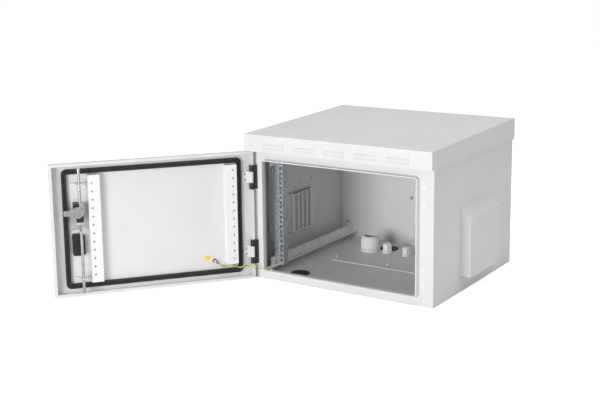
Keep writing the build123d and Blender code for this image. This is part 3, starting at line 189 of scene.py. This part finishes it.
def insulation(green, yellow):
    """Two-colour wire insulation: a stripe of each winds slowly round the wire."""
    material, tree, shader, coordinates = new_finish("green_yellow_insulation", yellow, 0.4)
    split = tree.nodes.new("ShaderNodeSeparateXYZ")
    tree.links.new(coordinates.outputs["UV"], split.inputs["Vector"])
    winding = tree.nodes.new("ShaderNodeMath")
    winding.operation = "MULTIPLY_ADD"
    winding.inputs[1].default_value = turns_per_metre
    tree.links.new(split.outputs["Y"], winding.inputs[0])
    tree.links.new(split.outputs["X"], winding.inputs[2])
    part_turn = tree.nodes.new("ShaderNodeMath")
    part_turn.operation = "FRACT"
    tree.links.new(winding.outputs["Value"], part_turn.inputs[0])
    edge = tree.nodes.new("ShaderNodeValToRGB")
    edge.color_ramp.elements[0].position = green_from
    edge.color_ramp.elements[1].position = green_full
    edge.color_ramp.elements[0].color = (*yellow, 1.0)
    edge.color_ramp.elements[1].color = (*green, 1.0)
    tree.links.new(part_turn.outputs["Value"], edge.inputs["Fac"])
    tree.links.new(edge.outputs["Color"], shader.inputs["Base Color"])
    return material


lead_points = lead_line(lead_route)
lead = place_object("earth_lead_wire", lead_tube(lead_points))
lead.data.materials.append(insulation((0.05, 0.30, 0.06), (0.78, 0.70, 0.04)))
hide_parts("earth_lead")
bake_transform(lead)


# Painted shell: housing, roof, hoods, gland plate, door and rod guides of folded sheet steel with a
# light grey powder coat. It is painted after folding and welding, so seams and edges have one colour.
def pattern(tree, coordinates, scale, detail=3.0):
    """Noise over the piece's own coordinates."""
    noise = tree.nodes.new("ShaderNodeTexNoise")
    noise.inputs["Scale"].default_value = scale
    noise.inputs["Detail"].default_value = detail
    tree.links.new(coordinates.outputs["Object"], noise.inputs["Vector"])
    return noise.outputs["Fac"]


def relief(tree, shader, height, strength, distance):
    """Bump from a height."""
    bump = tree.nodes.new("ShaderNodeBump")
    bump.inputs["Strength"].default_value = strength
    bump.inputs["Distance"].default_value = distance
    tree.links.new(height, bump.inputs["Height"])
    tree.links.new(bump.outputs["Normal"], shader.inputs["Normal"])


def two_tones(tree, shader, value, dark, light, first=0.3, last=0.7):
    """Base colour that goes from one tone to another as the value goes from first to last."""
    ramp = tree.nodes.new("ShaderNodeValToRGB")
    ramp.color_ramp.elements[0].position = first
    ramp.color_ramp.elements[1].position = last
    ramp.color_ramp.elements[0].color = (*dark, 1.0)
    ramp.color_ramp.elements[1].color = (*light, 1.0)
    tree.links.new(value, ramp.inputs["Fac"])
    tree.links.new(ramp.outputs["Color"], shader.inputs["Base Color"])


def gloss_between(tree, shader, value, low, high, first=0.3, last=0.7):
    """Roughness that goes from one limit to another as the value goes from first to last."""
    spread = tree.nodes.new("ShaderNodeMapRange")
    spread.inputs["From Min"].default_value = first
    spread.inputs["From Max"].default_value = last
    spread.inputs["To Min"].default_value = low
    spread.inputs["To Max"].default_value = high
    tree.links.new(value, spread.inputs["Value"])
    tree.links.new(spread.outputs["Result"], shader.inputs["Roughness"])


def powder_coat(name, dark, light, roughness):
    """Powder coat on sheet steel: a faint cloud of tone and a fine orange peel."""
    material, tree, shader, coordinates = new_finish(name, light, roughness)
    two_tones(tree, shader, pattern(tree, coordinates, 7.0), dark, light)
    gloss_between(tree, shader, pattern(tree, coordinates, 30.0), roughness - 0.05, roughness + 0.07)
    relief(tree, shader, pattern(tree, coordinates, 1300.0, detail=2.0), strength=0.15, distance=0.0002)
    return material


def finish_nodes(material, *names):
    """Give CAD pieces a material in every slot that they have."""
    for name in names:
        piece = nodes[name]
        if not piece.data.materials:
            piece.data.materials.append(material)
        for slot in piece.material_slots:
            slot.material = material


shell_coat = powder_coat("shell_powder_coat", (0.735, 0.735, 0.735), (0.765, 0.765, 0.765), 0.42)
finish_nodes(shell_coat, "housing", "rain_roof", "left_rain_hood", "right_rain_hood",
             "gland_plate", "door_panel", "rod_guides")


# Inner steelwork: rails, filter pockets and door rails of folded sheet, painted apart from the
# shell, a shade lighter and with less gloss.
inner_coat = powder_coat("inner_powder_coat", (0.84, 0.84, 0.835), (0.88, 0.88, 0.875), 0.5)
finish_nodes(inner_coat, "left_filter_pocket", "right_filter_pocket", "lower_left_rail",
             "lower_right_rail", "upper_left_rail", "upper_right_rail", "hinge_side_door_rail",
             "lock_side_door_rail")


# Filter mats: a pad of synthetic fibre behind each pocket's slots, coloured near black as painted shade
# for the dark seen through the slots. The fibres lie in all directions, so the pad is matt and uneven.
# The near-black grey is painted shade for the dark inside the pockets, not the fibre's own colour.
mat_painted_shade_grey = (0.010, 0.010, 0.010)
mat_fleece, mat_tree, mat_shader, mat_coordinates = new_finish("filter_fibres_painted_shade", mat_painted_shade_grey, 0.95)
mat_fibres = pattern(mat_tree, mat_coordinates, 700.0, detail=6.0)
two_tones(mat_tree, mat_shader, mat_fibres, (0.002, 0.002, 0.002), mat_painted_shade_grey)
relief(mat_tree, mat_shader, mat_fibres, strength=0.8, distance=0.001)
finish_nodes(mat_fleece, "left_filter_mat", "right_filter_mat")


# Rack profiles and wall strips: hot-dip galvanised sheet, rolled and punched, left unpainted.
# Zinc freezes in flat crystals that reflect a little differently and give it its blue-grey spangle.
def spangle(name, dark, light, scale):
    """Zinc crystals of slightly different tone and gloss."""
    material, tree, shader, coordinates = new_finish(name, light, 0.4, 0.6)
    crystals = tree.nodes.new("ShaderNodeTexVoronoi")
    crystals.inputs["Scale"].default_value = scale
    tree.links.new(coordinates.outputs["Object"], crystals.inputs["Vector"])
    split = tree.nodes.new("ShaderNodeSeparateColor")
    tree.links.new(crystals.outputs["Color"], split.inputs["Color"])
    two_tones(tree, shader, split.outputs["Red"], dark, light, first=0.1, last=0.9)
    gloss_between(tree, shader, split.outputs["Green"], 0.34, 0.48)
    relief(tree, shader, pattern(tree, coordinates, 300.0), strength=0.08, distance=0.0002)
    return material


finish_nodes(spangle("profile_zinc", (0.34, 0.40, 0.43), (0.56, 0.61, 0.64), 260.0),
             "left_rack_profile", "right_rack_profile")
# The wall strips get a darker, warmer grey copy of the zinc: painted shade for the shadow they stand in.
finish_nodes(spangle("strip_zinc_painted_shade", (0.40, 0.40, 0.385), (0.52, 0.52, 0.50), 420.0),
             "left_wall_strip", "right_wall_strip")


# Screws, nuts, pins, rods, lock spindle and key cylinder: turned or headed steel with bright zinc
# plating, clean and new. The plating has faint clouds and a fine, even grain.
def plating(name, dark, light, roughness, metallic):
    """Plated steel: faint clouds and a fine grain."""
    material, tree, shader, coordinates = new_finish(name, light, roughness, metallic)
    two_tones(tree, shader, pattern(tree, coordinates, 80.0), dark, light)
    gloss_between(tree, shader, pattern(tree, coordinates, 220.0), roughness - 0.08, roughness + 0.1)
    relief(tree, shader, pattern(tree, coordinates, 900.0), strength=0.12, distance=0.0001)
    return material


zinc_plating = plating("zinc_plating", (0.42, 0.44, 0.46), (0.62, 0.64, 0.66), 0.3, 0.9)
finish_nodes(zinc_plating, "roof_nuts", "gland_plate_nuts", "rail_screws", "back_wall_screw",
             "fork_screws", "hinge_pins", "handle_pin", "upper_rod", "lower_rod", "lock_spindle",
             "key_cylinder")


# Cross-recessed screws in the pockets, hoods and hinge leaves: zinc-plated steel, a low domed head
# with a driver recess on a plain shank. One is made for each size and set down at each screw's place.
screw_segments = 24
weld_steps_per_metre = 20000
recess_share = 0.52
wing_share = 0.17
core_share = 1.3
recess_profile = ((0.45, 0.75), (1.0, 0.04))
dome_profile = ((0.62, 0.06), (0.86, 0.30), (1.0, 0.62), (1.0, 1.0))
tip_height_share = 0.3
tip_radius_share = 0.75


def screw_spots(node_name, way_of):
    """For each screw in a CAD node: middle of its head top, its way out, head radius and length."""
    mesh = nodes[node_name].data
    merged = {}
    keys = []
    for vertex in mesh.vertices:
        key = tuple(round(value * weld_steps_per_metre) for value in vertex.co)
        keys.append(merged.setdefault(key, len(merged)))
    places = [None] * len(merged)
    for vertex, key in zip(mesh.vertices, keys):
        places[key] = vertex.co
    parents = list(range(len(merged)))

    def root(index):
        while parents[index] != index:
            parents[index] = parents[parents[index]]
            index = parents[index]
        return index

    for polygon in mesh.polygons:
        corners = [keys[index] for index in polygon.vertices]
        for corner in corners[1:]:
            parents[root(corner)] = root(corners[0])
    groups = {}
    for index in range(len(places)):
        groups.setdefault(root(index), []).append(places[index])
    spots = []
    for group in groups.values():
        middle = sum(group, Vector()) / len(group)
        way = way_of(middle)
        along = [point.dot(way) for point in group]
        first = way.cross(Vector((0, 0, 1))).normalized()
        second = way.cross(first)
        sides = [[point.dot(axis) for point in group] for axis in (first, second)]
        centre = sum((axis * (max(values) + min(values)) / 2
                      for axis, values in zip((first, second), sides)), Vector())
        spots.append((centre + way * max(along), way, (max(sides[0]) - min(sides[0])) / 2,
                      max(along) - min(along)))
    return spots


def screw_mesh(name, head_radius, head_height, shank_radius, length):
    """Screw along +Z with the top of its head at the origin: dome, cross recess and shank."""
    shape = bmesh.new()
    recess = head_radius * recess_share
    wing = head_radius * wing_share

    def ring(radius, height):
        return [shape.verts.new((radius * math.cos(2 * math.pi * step / screw_segments),
                                 radius * math.sin(2 * math.pi * step / screw_segments), height))
                for step in range(screw_segments)]

    def cross_ring(scale, height):
        points = []
        for step in range(screw_segments):
            angle = 2 * math.pi * step / screw_segments
            near = min(abs(math.cos(angle)), abs(math.sin(angle)))
            reach = min(recess, wing / max(near, 1e-4))
            reach = max(reach, wing * core_share)
            points.append(shape.verts.new((scale * reach * math.cos(angle),
                                           scale * reach * math.sin(angle), height)))
        return points

    rings = [cross_ring(scale, -head_height * depth) for scale, depth in recess_profile]
    rings += [ring(head_radius * share, -head_height * depth) for share, depth in dome_profile]
    rings += [ring(shank_radius, -head_height),
              ring(shank_radius, -length + shank_radius * tip_height_share),
              ring(shank_radius * tip_radius_share, -length)]
    for inner, outer in zip(rings, rings[1:]):
        for step in range(screw_segments):
            after = (step + 1) % screw_segments
            shape.faces.new((inner[step], outer[step], outer[after], inner[after]))
    shape.faces.new(rings[0])
    shape.faces.new(list(reversed(rings[-1])))
    bmesh.ops.recalc_face_normals(shape, faces=shape.faces)
    data = bpy.data.meshes.new(name)
    shape.to_mesh(data)
    shape.free()
    return data


def spread_tree(name, seed, material):
    """Geometry Nodes that set one piece down at each point, turned to the point's own way."""
    tree = bpy.data.node_groups.new(name, "GeometryNodeTree")
    tree.interface.new_socket("Geometry", in_out="INPUT", socket_type="NodeSocketGeometry")
    tree.interface.new_socket("Screw", in_out="INPUT", socket_type="NodeSocketObject")
    tree.interface.new_socket("Most turn", in_out="INPUT", socket_type="NodeSocketFloat")
    tree.interface.new_socket("Geometry", in_out="OUTPUT", socket_type="NodeSocketGeometry")
    start = tree.nodes.new("NodeGroupInput")
    end = tree.nodes.new("NodeGroupOutput")
    template = tree.nodes.new("GeometryNodeObjectInfo")
    ways = tree.nodes.new("GeometryNodeInputNamedAttribute")
    ways.data_type = "FLOAT_VECTOR"
    ways.inputs["Name"].default_value = "way_out"
    aim = tree.nodes.new("FunctionNodeAlignRotationToVector")
    aim.axis = "Z"
    angle = tree.nodes.new("FunctionNodeRandomValue")
    angle.data_type = "FLOAT"
    angle.inputs["Seed"].default_value = seed
    spin = tree.nodes.new("FunctionNodeAxisAngleToRotation")
    turn = tree.nodes.new("FunctionNodeRotateRotation")
    turn.rotation_space = "LOCAL"
    spread = tree.nodes.new("GeometryNodeInstanceOnPoints")
    real = tree.nodes.new("GeometryNodeRealizeInstances")
    paint = tree.nodes.new("GeometryNodeSetMaterial")
    paint.inputs["Material"].default_value = material
    link = tree.links.new
    link(start.outputs["Geometry"], spread.inputs["Points"])
    link(start.outputs["Screw"], template.inputs["Object"])
    link(template.outputs["Geometry"], spread.inputs["Instance"])
    link(ways.outputs["Attribute"], aim.inputs["Vector"])
    link(start.outputs["Most turn"], angle.inputs[3])
    link(angle.outputs[1], spin.inputs["Angle"])
    link(aim.outputs["Rotation"], turn.inputs["Rotation"])
    link(spin.outputs["Rotation"], turn.inputs["Rotate By"])
    link(turn.outputs["Rotation"], spread.inputs["Rotation"])
    link(spread.outputs["Instances"], real.inputs["Geometry"])
    link(real.outputs["Geometry"], paint.inputs["Geometry"])
    link(paint.outputs["Geometry"], end.inputs["Geometry"])
    return tree


def set_down(name, template_data, spots, tree):
    """Set the template down at each spot, as one plain mesh."""
    template = place_object(name + "_one", template_data)
    points = bpy.data.meshes.new(name + "_points")
    points.from_pydata([spot[0] for spot in spots], [], [])
    ways = points.attributes.new("way_out", "FLOAT_VECTOR", "POINT")
    for item, spot in zip(ways.data, spots):
        item.vector = spot[1]
    carrier = place_object(name + "_carrier", points)
    modifier = carrier.modifiers.new("spread", "NODES")
    modifier.node_group = tree
    for socket in tree.interface.items_tree:
        if socket.in_out == "INPUT" and socket.name == "Screw":
            modifier[socket.identifier] = template
        if socket.in_out == "INPUT" and socket.name == "Most turn":
            modifier[socket.identifier] = math.pi
    bpy.context.view_layer.update()
    ready = carrier.evaluated_get(bpy.context.evaluated_depsgraph_get())
    data = bpy.data.meshes.new_from_object(ready)
    bpy.data.objects.remove(carrier)
    bpy.data.objects.remove(template)
    data.name = name
    return place_object(name, data)


def make_screws(node_name, body, way_of, head_share, shank_share, seed):
    """Replace a CAD node's screws by finished ones of the same sizes."""
    spots = screw_spots(node_name, way_of)
    radius = spots[0][2]
    length = spots[0][3]
    template = screw_mesh(node_name + "_screw", radius, radius * head_share, radius * shank_share, length)
    tree = spread_tree(node_name + "_spread", seed, zinc_plating)
    piece = set_down(node_name + "_finished", template, spots, tree)
    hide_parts(node_name)
    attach(piece, body)


def to_the_inside(middle):
    """Way out of a side wall's screw: towards the middle of the cabinet."""
    return Vector((-1 if middle.x > 0 else 1, 0, 0))


door_turn = math.radians(-129.4)
door_inside = Vector((-math.sin(door_turn), math.cos(door_turn), 0))
make_screws("pocket_screws", "cabinet", to_the_inside, head_share=0.52, shank_share=0.8, seed=3)
make_screws("hood_screws", "cabinet", to_the_inside, head_share=0.58, shank_share=0.5, seed=4)
make_screws("leaf_screws", "door", lambda middle: door_inside, head_share=0.6, shank_share=0.55, seed=5)


# Profile bolts: the rack profiles are bolted to the rails, so their plain plated bolts and nuts
# stay as they are in the model and get the same plating.
finish_nodes(zinc_plating, "profile_bolts")


# Lock cam: a pressed steel cam with bright nickel plating, thicker and warmer than zinc. It sits
# on the spindle's square and holds a pin for each rod.
cam_nickel = plating("nickel_plating", (0.40, 0.38, 0.35), (0.62, 0.60, 0.56), 0.24, 0.95)
finish_nodes(cam_nickel, "lock_cam")


# Cable glands and frame plugs: injection-moulded nylon in off-white, with a fine eroded grain. The
# glands' locknuts hold them in their plate, and the plugs close holes in the front frame.
def moulding(name, dark, light, roughness, grain):
    """Moulded plastic with a fine grain."""
    material, tree, shader, coordinates = new_finish(name, light, roughness)
    two_tones(tree, shader, pattern(tree, coordinates, 40.0), dark, light)
    gloss_between(tree, shader, pattern(tree, coordinates, 120.0), roughness - 0.05, roughness + 0.08)
    relief(tree, shader, pattern(tree, coordinates, 1800.0, detail=1.0), grain, distance=0.00015)
    return material


white_nylon = moulding("white_nylon", (0.85, 0.85, 0.84), (0.90, 0.90, 0.89), 0.42, 0.12)
finish_nodes(white_nylon, "frame_plugs", "large_gland_body", "large_gland_dome_nut",
             "large_gland_locknut", "small_gland_bodies", "small_gland_dome_nuts",
             "small_gland_locknuts")


# Grip ribs on the large gland's dome nut: moulded upright ribs round its side, which a hand or a
# strap wrench holds. They stand on the nut's round wall and taper a little towards its top.
rib_count = 30
rib_ring = 0.0289
rib_foot = -0.1700
rib_top = -0.1440
rib_half_width = 0.0011
rib_flat = 0.0006
rib_back = 0.0006
rib_shoulder = 0.0002
rib_height = 0.0008
rib_taper = 0.9
rib_slope = 0.0006
gland_middle = Vector((-0.116, -0.148, 0))


def rib_mesh():
    """One grip rib along Z with a chamfered outer face, its back a little inside the ring."""
    shape = bmesh.new()
    section = ((-rib_half_width, -rib_back), (-rib_half_width, rib_shoulder), (-rib_flat, rib_height),
               (rib_flat, rib_height), (rib_half_width, rib_shoulder), (rib_half_width, -rib_back))
    low = [shape.verts.new((x, y, rib_foot)) for x, y in section]
    high = [shape.verts.new((x * rib_taper, y, rib_top - rib_slope if y > 0 else rib_top))
            for x, y in section]
    for step in range(len(section)):
        after = (step + 1) % len(section)
        shape.faces.new((low[step], low[after], high[after], high[step]))
    shape.faces.new(list(reversed(low)))
    shape.faces.new(high)
    bmesh.ops.recalc_face_normals(shape, faces=shape.faces)
    data = bpy.data.meshes.new("grip_rib")
    shape.to_mesh(data)
    shape.free()
    return data


def rib_tree():
    """Geometry Nodes that set ribs round a circle, each with its outer face outwards."""
    tree = bpy.data.node_groups.new("rib_ring", "GeometryNodeTree")
    tree.interface.new_socket("Geometry", in_out="INPUT", socket_type="NodeSocketGeometry")
    tree.interface.new_socket("Rib", in_out="INPUT", socket_type="NodeSocketObject")
    tree.interface.new_socket("Ribs", in_out="INPUT", socket_type="NodeSocketInt")
    tree.interface.new_socket("Ring radius", in_out="INPUT", socket_type="NodeSocketFloat")
    tree.interface.new_socket("Geometry", in_out="OUTPUT", socket_type="NodeSocketGeometry")
    start = tree.nodes.new("NodeGroupInput")
    end = tree.nodes.new("NodeGroupOutput")
    template = tree.nodes.new("GeometryNodeObjectInfo")
    circle = tree.nodes.new("GeometryNodeMeshCircle")
    place = tree.nodes.new("GeometryNodeInputPosition")
    aim = tree.nodes.new("FunctionNodeAlignRotationToVector")
    aim.axis = "Y"
    aim.pivot_axis = "Z"
    spread = tree.nodes.new("GeometryNodeInstanceOnPoints")
    real = tree.nodes.new("GeometryNodeRealizeInstances")
    paint = tree.nodes.new("GeometryNodeSetMaterial")
    paint.inputs["Material"].default_value = white_nylon
    link = tree.links.new
    link(start.outputs["Ribs"], circle.inputs["Vertices"])
    link(start.outputs["Ring radius"], circle.inputs["Radius"])
    link(circle.outputs["Mesh"], spread.inputs["Points"])
    link(start.outputs["Rib"], template.inputs["Object"])
    link(template.outputs["Geometry"], spread.inputs["Instance"])
    link(place.outputs["Position"], aim.inputs["Vector"])
    link(aim.outputs["Rotation"], spread.inputs["Rotation"])
    link(spread.outputs["Instances"], real.inputs["Geometry"])
    link(real.outputs["Geometry"], paint.inputs["Geometry"])
    link(paint.outputs["Geometry"], end.inputs["Geometry"])
    return tree


rib_one = place_object("grip_rib_one", rib_mesh())
rib_carrier = place_object("grip_rib_carrier", bpy.data.meshes.new("grip_rib_points"))
rib_modifier = rib_carrier.modifiers.new("ring", "NODES")
rib_modifier.node_group = rib_tree()
rib_values = {"Rib": rib_one, "Ribs": rib_count, "Ring radius": rib_ring}
for socket in rib_modifier.node_group.interface.items_tree:
    if socket.in_out == "INPUT" and socket.name in rib_values:
        rib_modifier[socket.identifier] = rib_values[socket.name]
bpy.context.view_layer.update()
rib_ready = rib_carrier.evaluated_get(bpy.context.evaluated_depsgraph_get())
rib_data = bpy.data.meshes.new_from_object(rib_ready)
rib_data.transform(Matrix.Translation(gland_middle))
bpy.data.objects.remove(rib_carrier)
bpy.data.objects.remove(rib_one)
grip_ribs = place_object("gland_grip_ribs", rib_data)
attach(grip_ribs, "cabinet")


# Hinge leaves: die-cast leaves with a light grey coat, screwed to the door's inner side and
# turning on the pins between the ears of the black forks.
leaf_coat = powder_coat("leaf_powder_coat", (0.72, 0.73, 0.73), (0.76, 0.77, 0.77), 0.38)
finish_nodes(leaf_coat, "upper_hinge_leaf", "lower_hinge_leaf")


# Black plastic pieces: hinge forks, inner lock box, handle base and swing handle are moulded in
# glass-filled nylon, near black, with a satin grain.
black_nylon = moulding("black_nylon", (0.010, 0.010, 0.010), (0.020, 0.020, 0.020), 0.4, 0.2)
finish_nodes(black_nylon, "upper_hinge_fork", "lower_hinge_fork", "lock_box", "handle_base",
             "swing_handle")


# Gasket, blanking plugs and gland seals: black foamed or soft rubber. The gasket is foamed in
# place, so it has a skin with small open pores; the plugs are smoother.
def soft_rubber(name, dark, light, roughness, pore_scale, pore_depth):
    """Matt rubber with small pores."""
    material, tree, shader, coordinates = new_finish(name, light, roughness)
    pores = tree.nodes.new("ShaderNodeTexVoronoi")
    pores.inputs["Scale"].default_value = pore_scale
    tree.links.new(coordinates.outputs["Object"], pores.inputs["Vector"])
    two_tones(tree, shader, pattern(tree, coordinates, 90.0), dark, light)
    relief(tree, shader, pores.outputs["Distance"], pore_depth, distance=0.0003)
    return material


gasket_foam = soft_rubber("foamed_gasket", (0.010, 0.010, 0.011), (0.026, 0.026, 0.027), 0.6, 900.0, 0.3)
plug_rubber = soft_rubber("plug_rubber", (0.010, 0.010, 0.010), (0.022, 0.022, 0.022), 0.55, 1500.0, 0.12)
finish_nodes(gasket_foam, "door_gasket")
finish_nodes(plug_rubber, "blanking_plugs", "large_gland_seal", "small_gland_seals")


# Earth terminals and mark: a ring lug with a vinyl sleeve at each end of the lead, here with one
# red-brown finish for the whole terminal, and a round spot of yellow film beside the door's stud.
lug_vinyl = moulding("lug_vinyl", (0.32, 0.07, 0.04), (0.42, 0.11, 0.07), 0.4, 0.1)
finish_nodes(lug_vinyl, "door_earth_terminal", "body_earth_terminal")
yellow_film = moulding("yellow_film", (0.88, 0.60, 0.03), (0.95, 0.68, 0.05), 0.5, 0.05)
finish_nodes(yellow_film, "earth_mark")


# Studio: a pale floor under the cabinet, a white surround, a broad soft light in front and low,
# and weaker ones above and at the right, so that the front is brightest and the inside in shade.
studio_white = (1, 1, 1, 1)
surround_strength = 0.39
floor_glow = 0.70
floor_sides = 96
floor_radius = 40.0
floor_gap = 0.0005
surround = bpy.data.worlds.new("surround")
bpy.context.scene.world = surround
surround.use_nodes = True
surround_light = surround.node_tree.nodes["Background"]
surround_light.inputs["Color"].default_value = studio_white


def camera_share(tree, low, high):
    """One value for what the camera sees, and another for the light itself."""
    path = tree.nodes.new("ShaderNodeLightPath")
    seen = tree.nodes.new("ShaderNodeMath")
    seen.operation = "MAXIMUM"
    tree.links.new(path.outputs["Is Camera Ray"], seen.inputs[0])
    tree.links.new(path.outputs["Is Transmission Ray"], seen.inputs[1])
    spread = tree.nodes.new("ShaderNodeMapRange")
    spread.inputs["To Min"].default_value = low
    spread.inputs["To Max"].default_value = high
    tree.links.new(seen.outputs["Value"], spread.inputs["Value"])
    return spread.outputs["Result"]


surround.node_tree.links.new(camera_share(surround.node_tree, surround_strength, 1.0),
                             surround_light.inputs["Strength"])

floor_shape = bmesh.new()
floor_ring = []
for step in range(floor_sides):
    angle = 2 * math.pi * step / floor_sides
    floor_ring.append(floor_shape.verts.new((floor_radius * math.cos(angle),
                                             floor_radius * math.sin(angle),
                                             model_box[0][2] - floor_gap)))
floor_shape.faces.new(floor_ring)
floor_data = bpy.data.meshes.new("floor")
floor_shape.to_mesh(floor_data)
floor_shape.free()
floor = place_object("floor", floor_data)
floor_grey = (0.80, 0.80, 0.80)
floor_paint, floor_tree, floor_shader, floor_coordinates = new_finish("pale_floor", floor_grey, 0.9)
floor_shader.inputs["Emission Color"].default_value = studio_white
floor_shader.inputs["Specular IOR Level"].default_value = 0.1
floor_tree.links.new(camera_share(floor_tree, 0.0, floor_glow), floor_shader.inputs["Emission Strength"])
relief(floor_tree, floor_shader, pattern(floor_tree, floor_coordinates, 30.0),
       strength=0.02, distance=0.0005)
floor_data.materials.append(floor_paint)


def soft_light(name, place, target, size, power):
    """Square soft light that looks at a target."""
    data = bpy.data.lights.new(name, "AREA")
    data.shape = "SQUARE"
    data.size = size
    data.energy = power
    light = place_object(name, data)
    light.location = place
    light.rotation_euler = (Vector(target) - Vector(place)).to_track_quat("-Z", "Y").to_euler()


soft_light("front_light", (-0.25, -4.3, 0.42), (0, -0.4, 0.0), size=1.5, power=96)
soft_light("top_light", (0.1, -0.5, 3.2), (0, -0.3, 0.2), size=1.6, power=46)
soft_light("side_light", (3.4, -0.42, 0.7), (0, -0.45, 0.0), size=1.4, power=17)
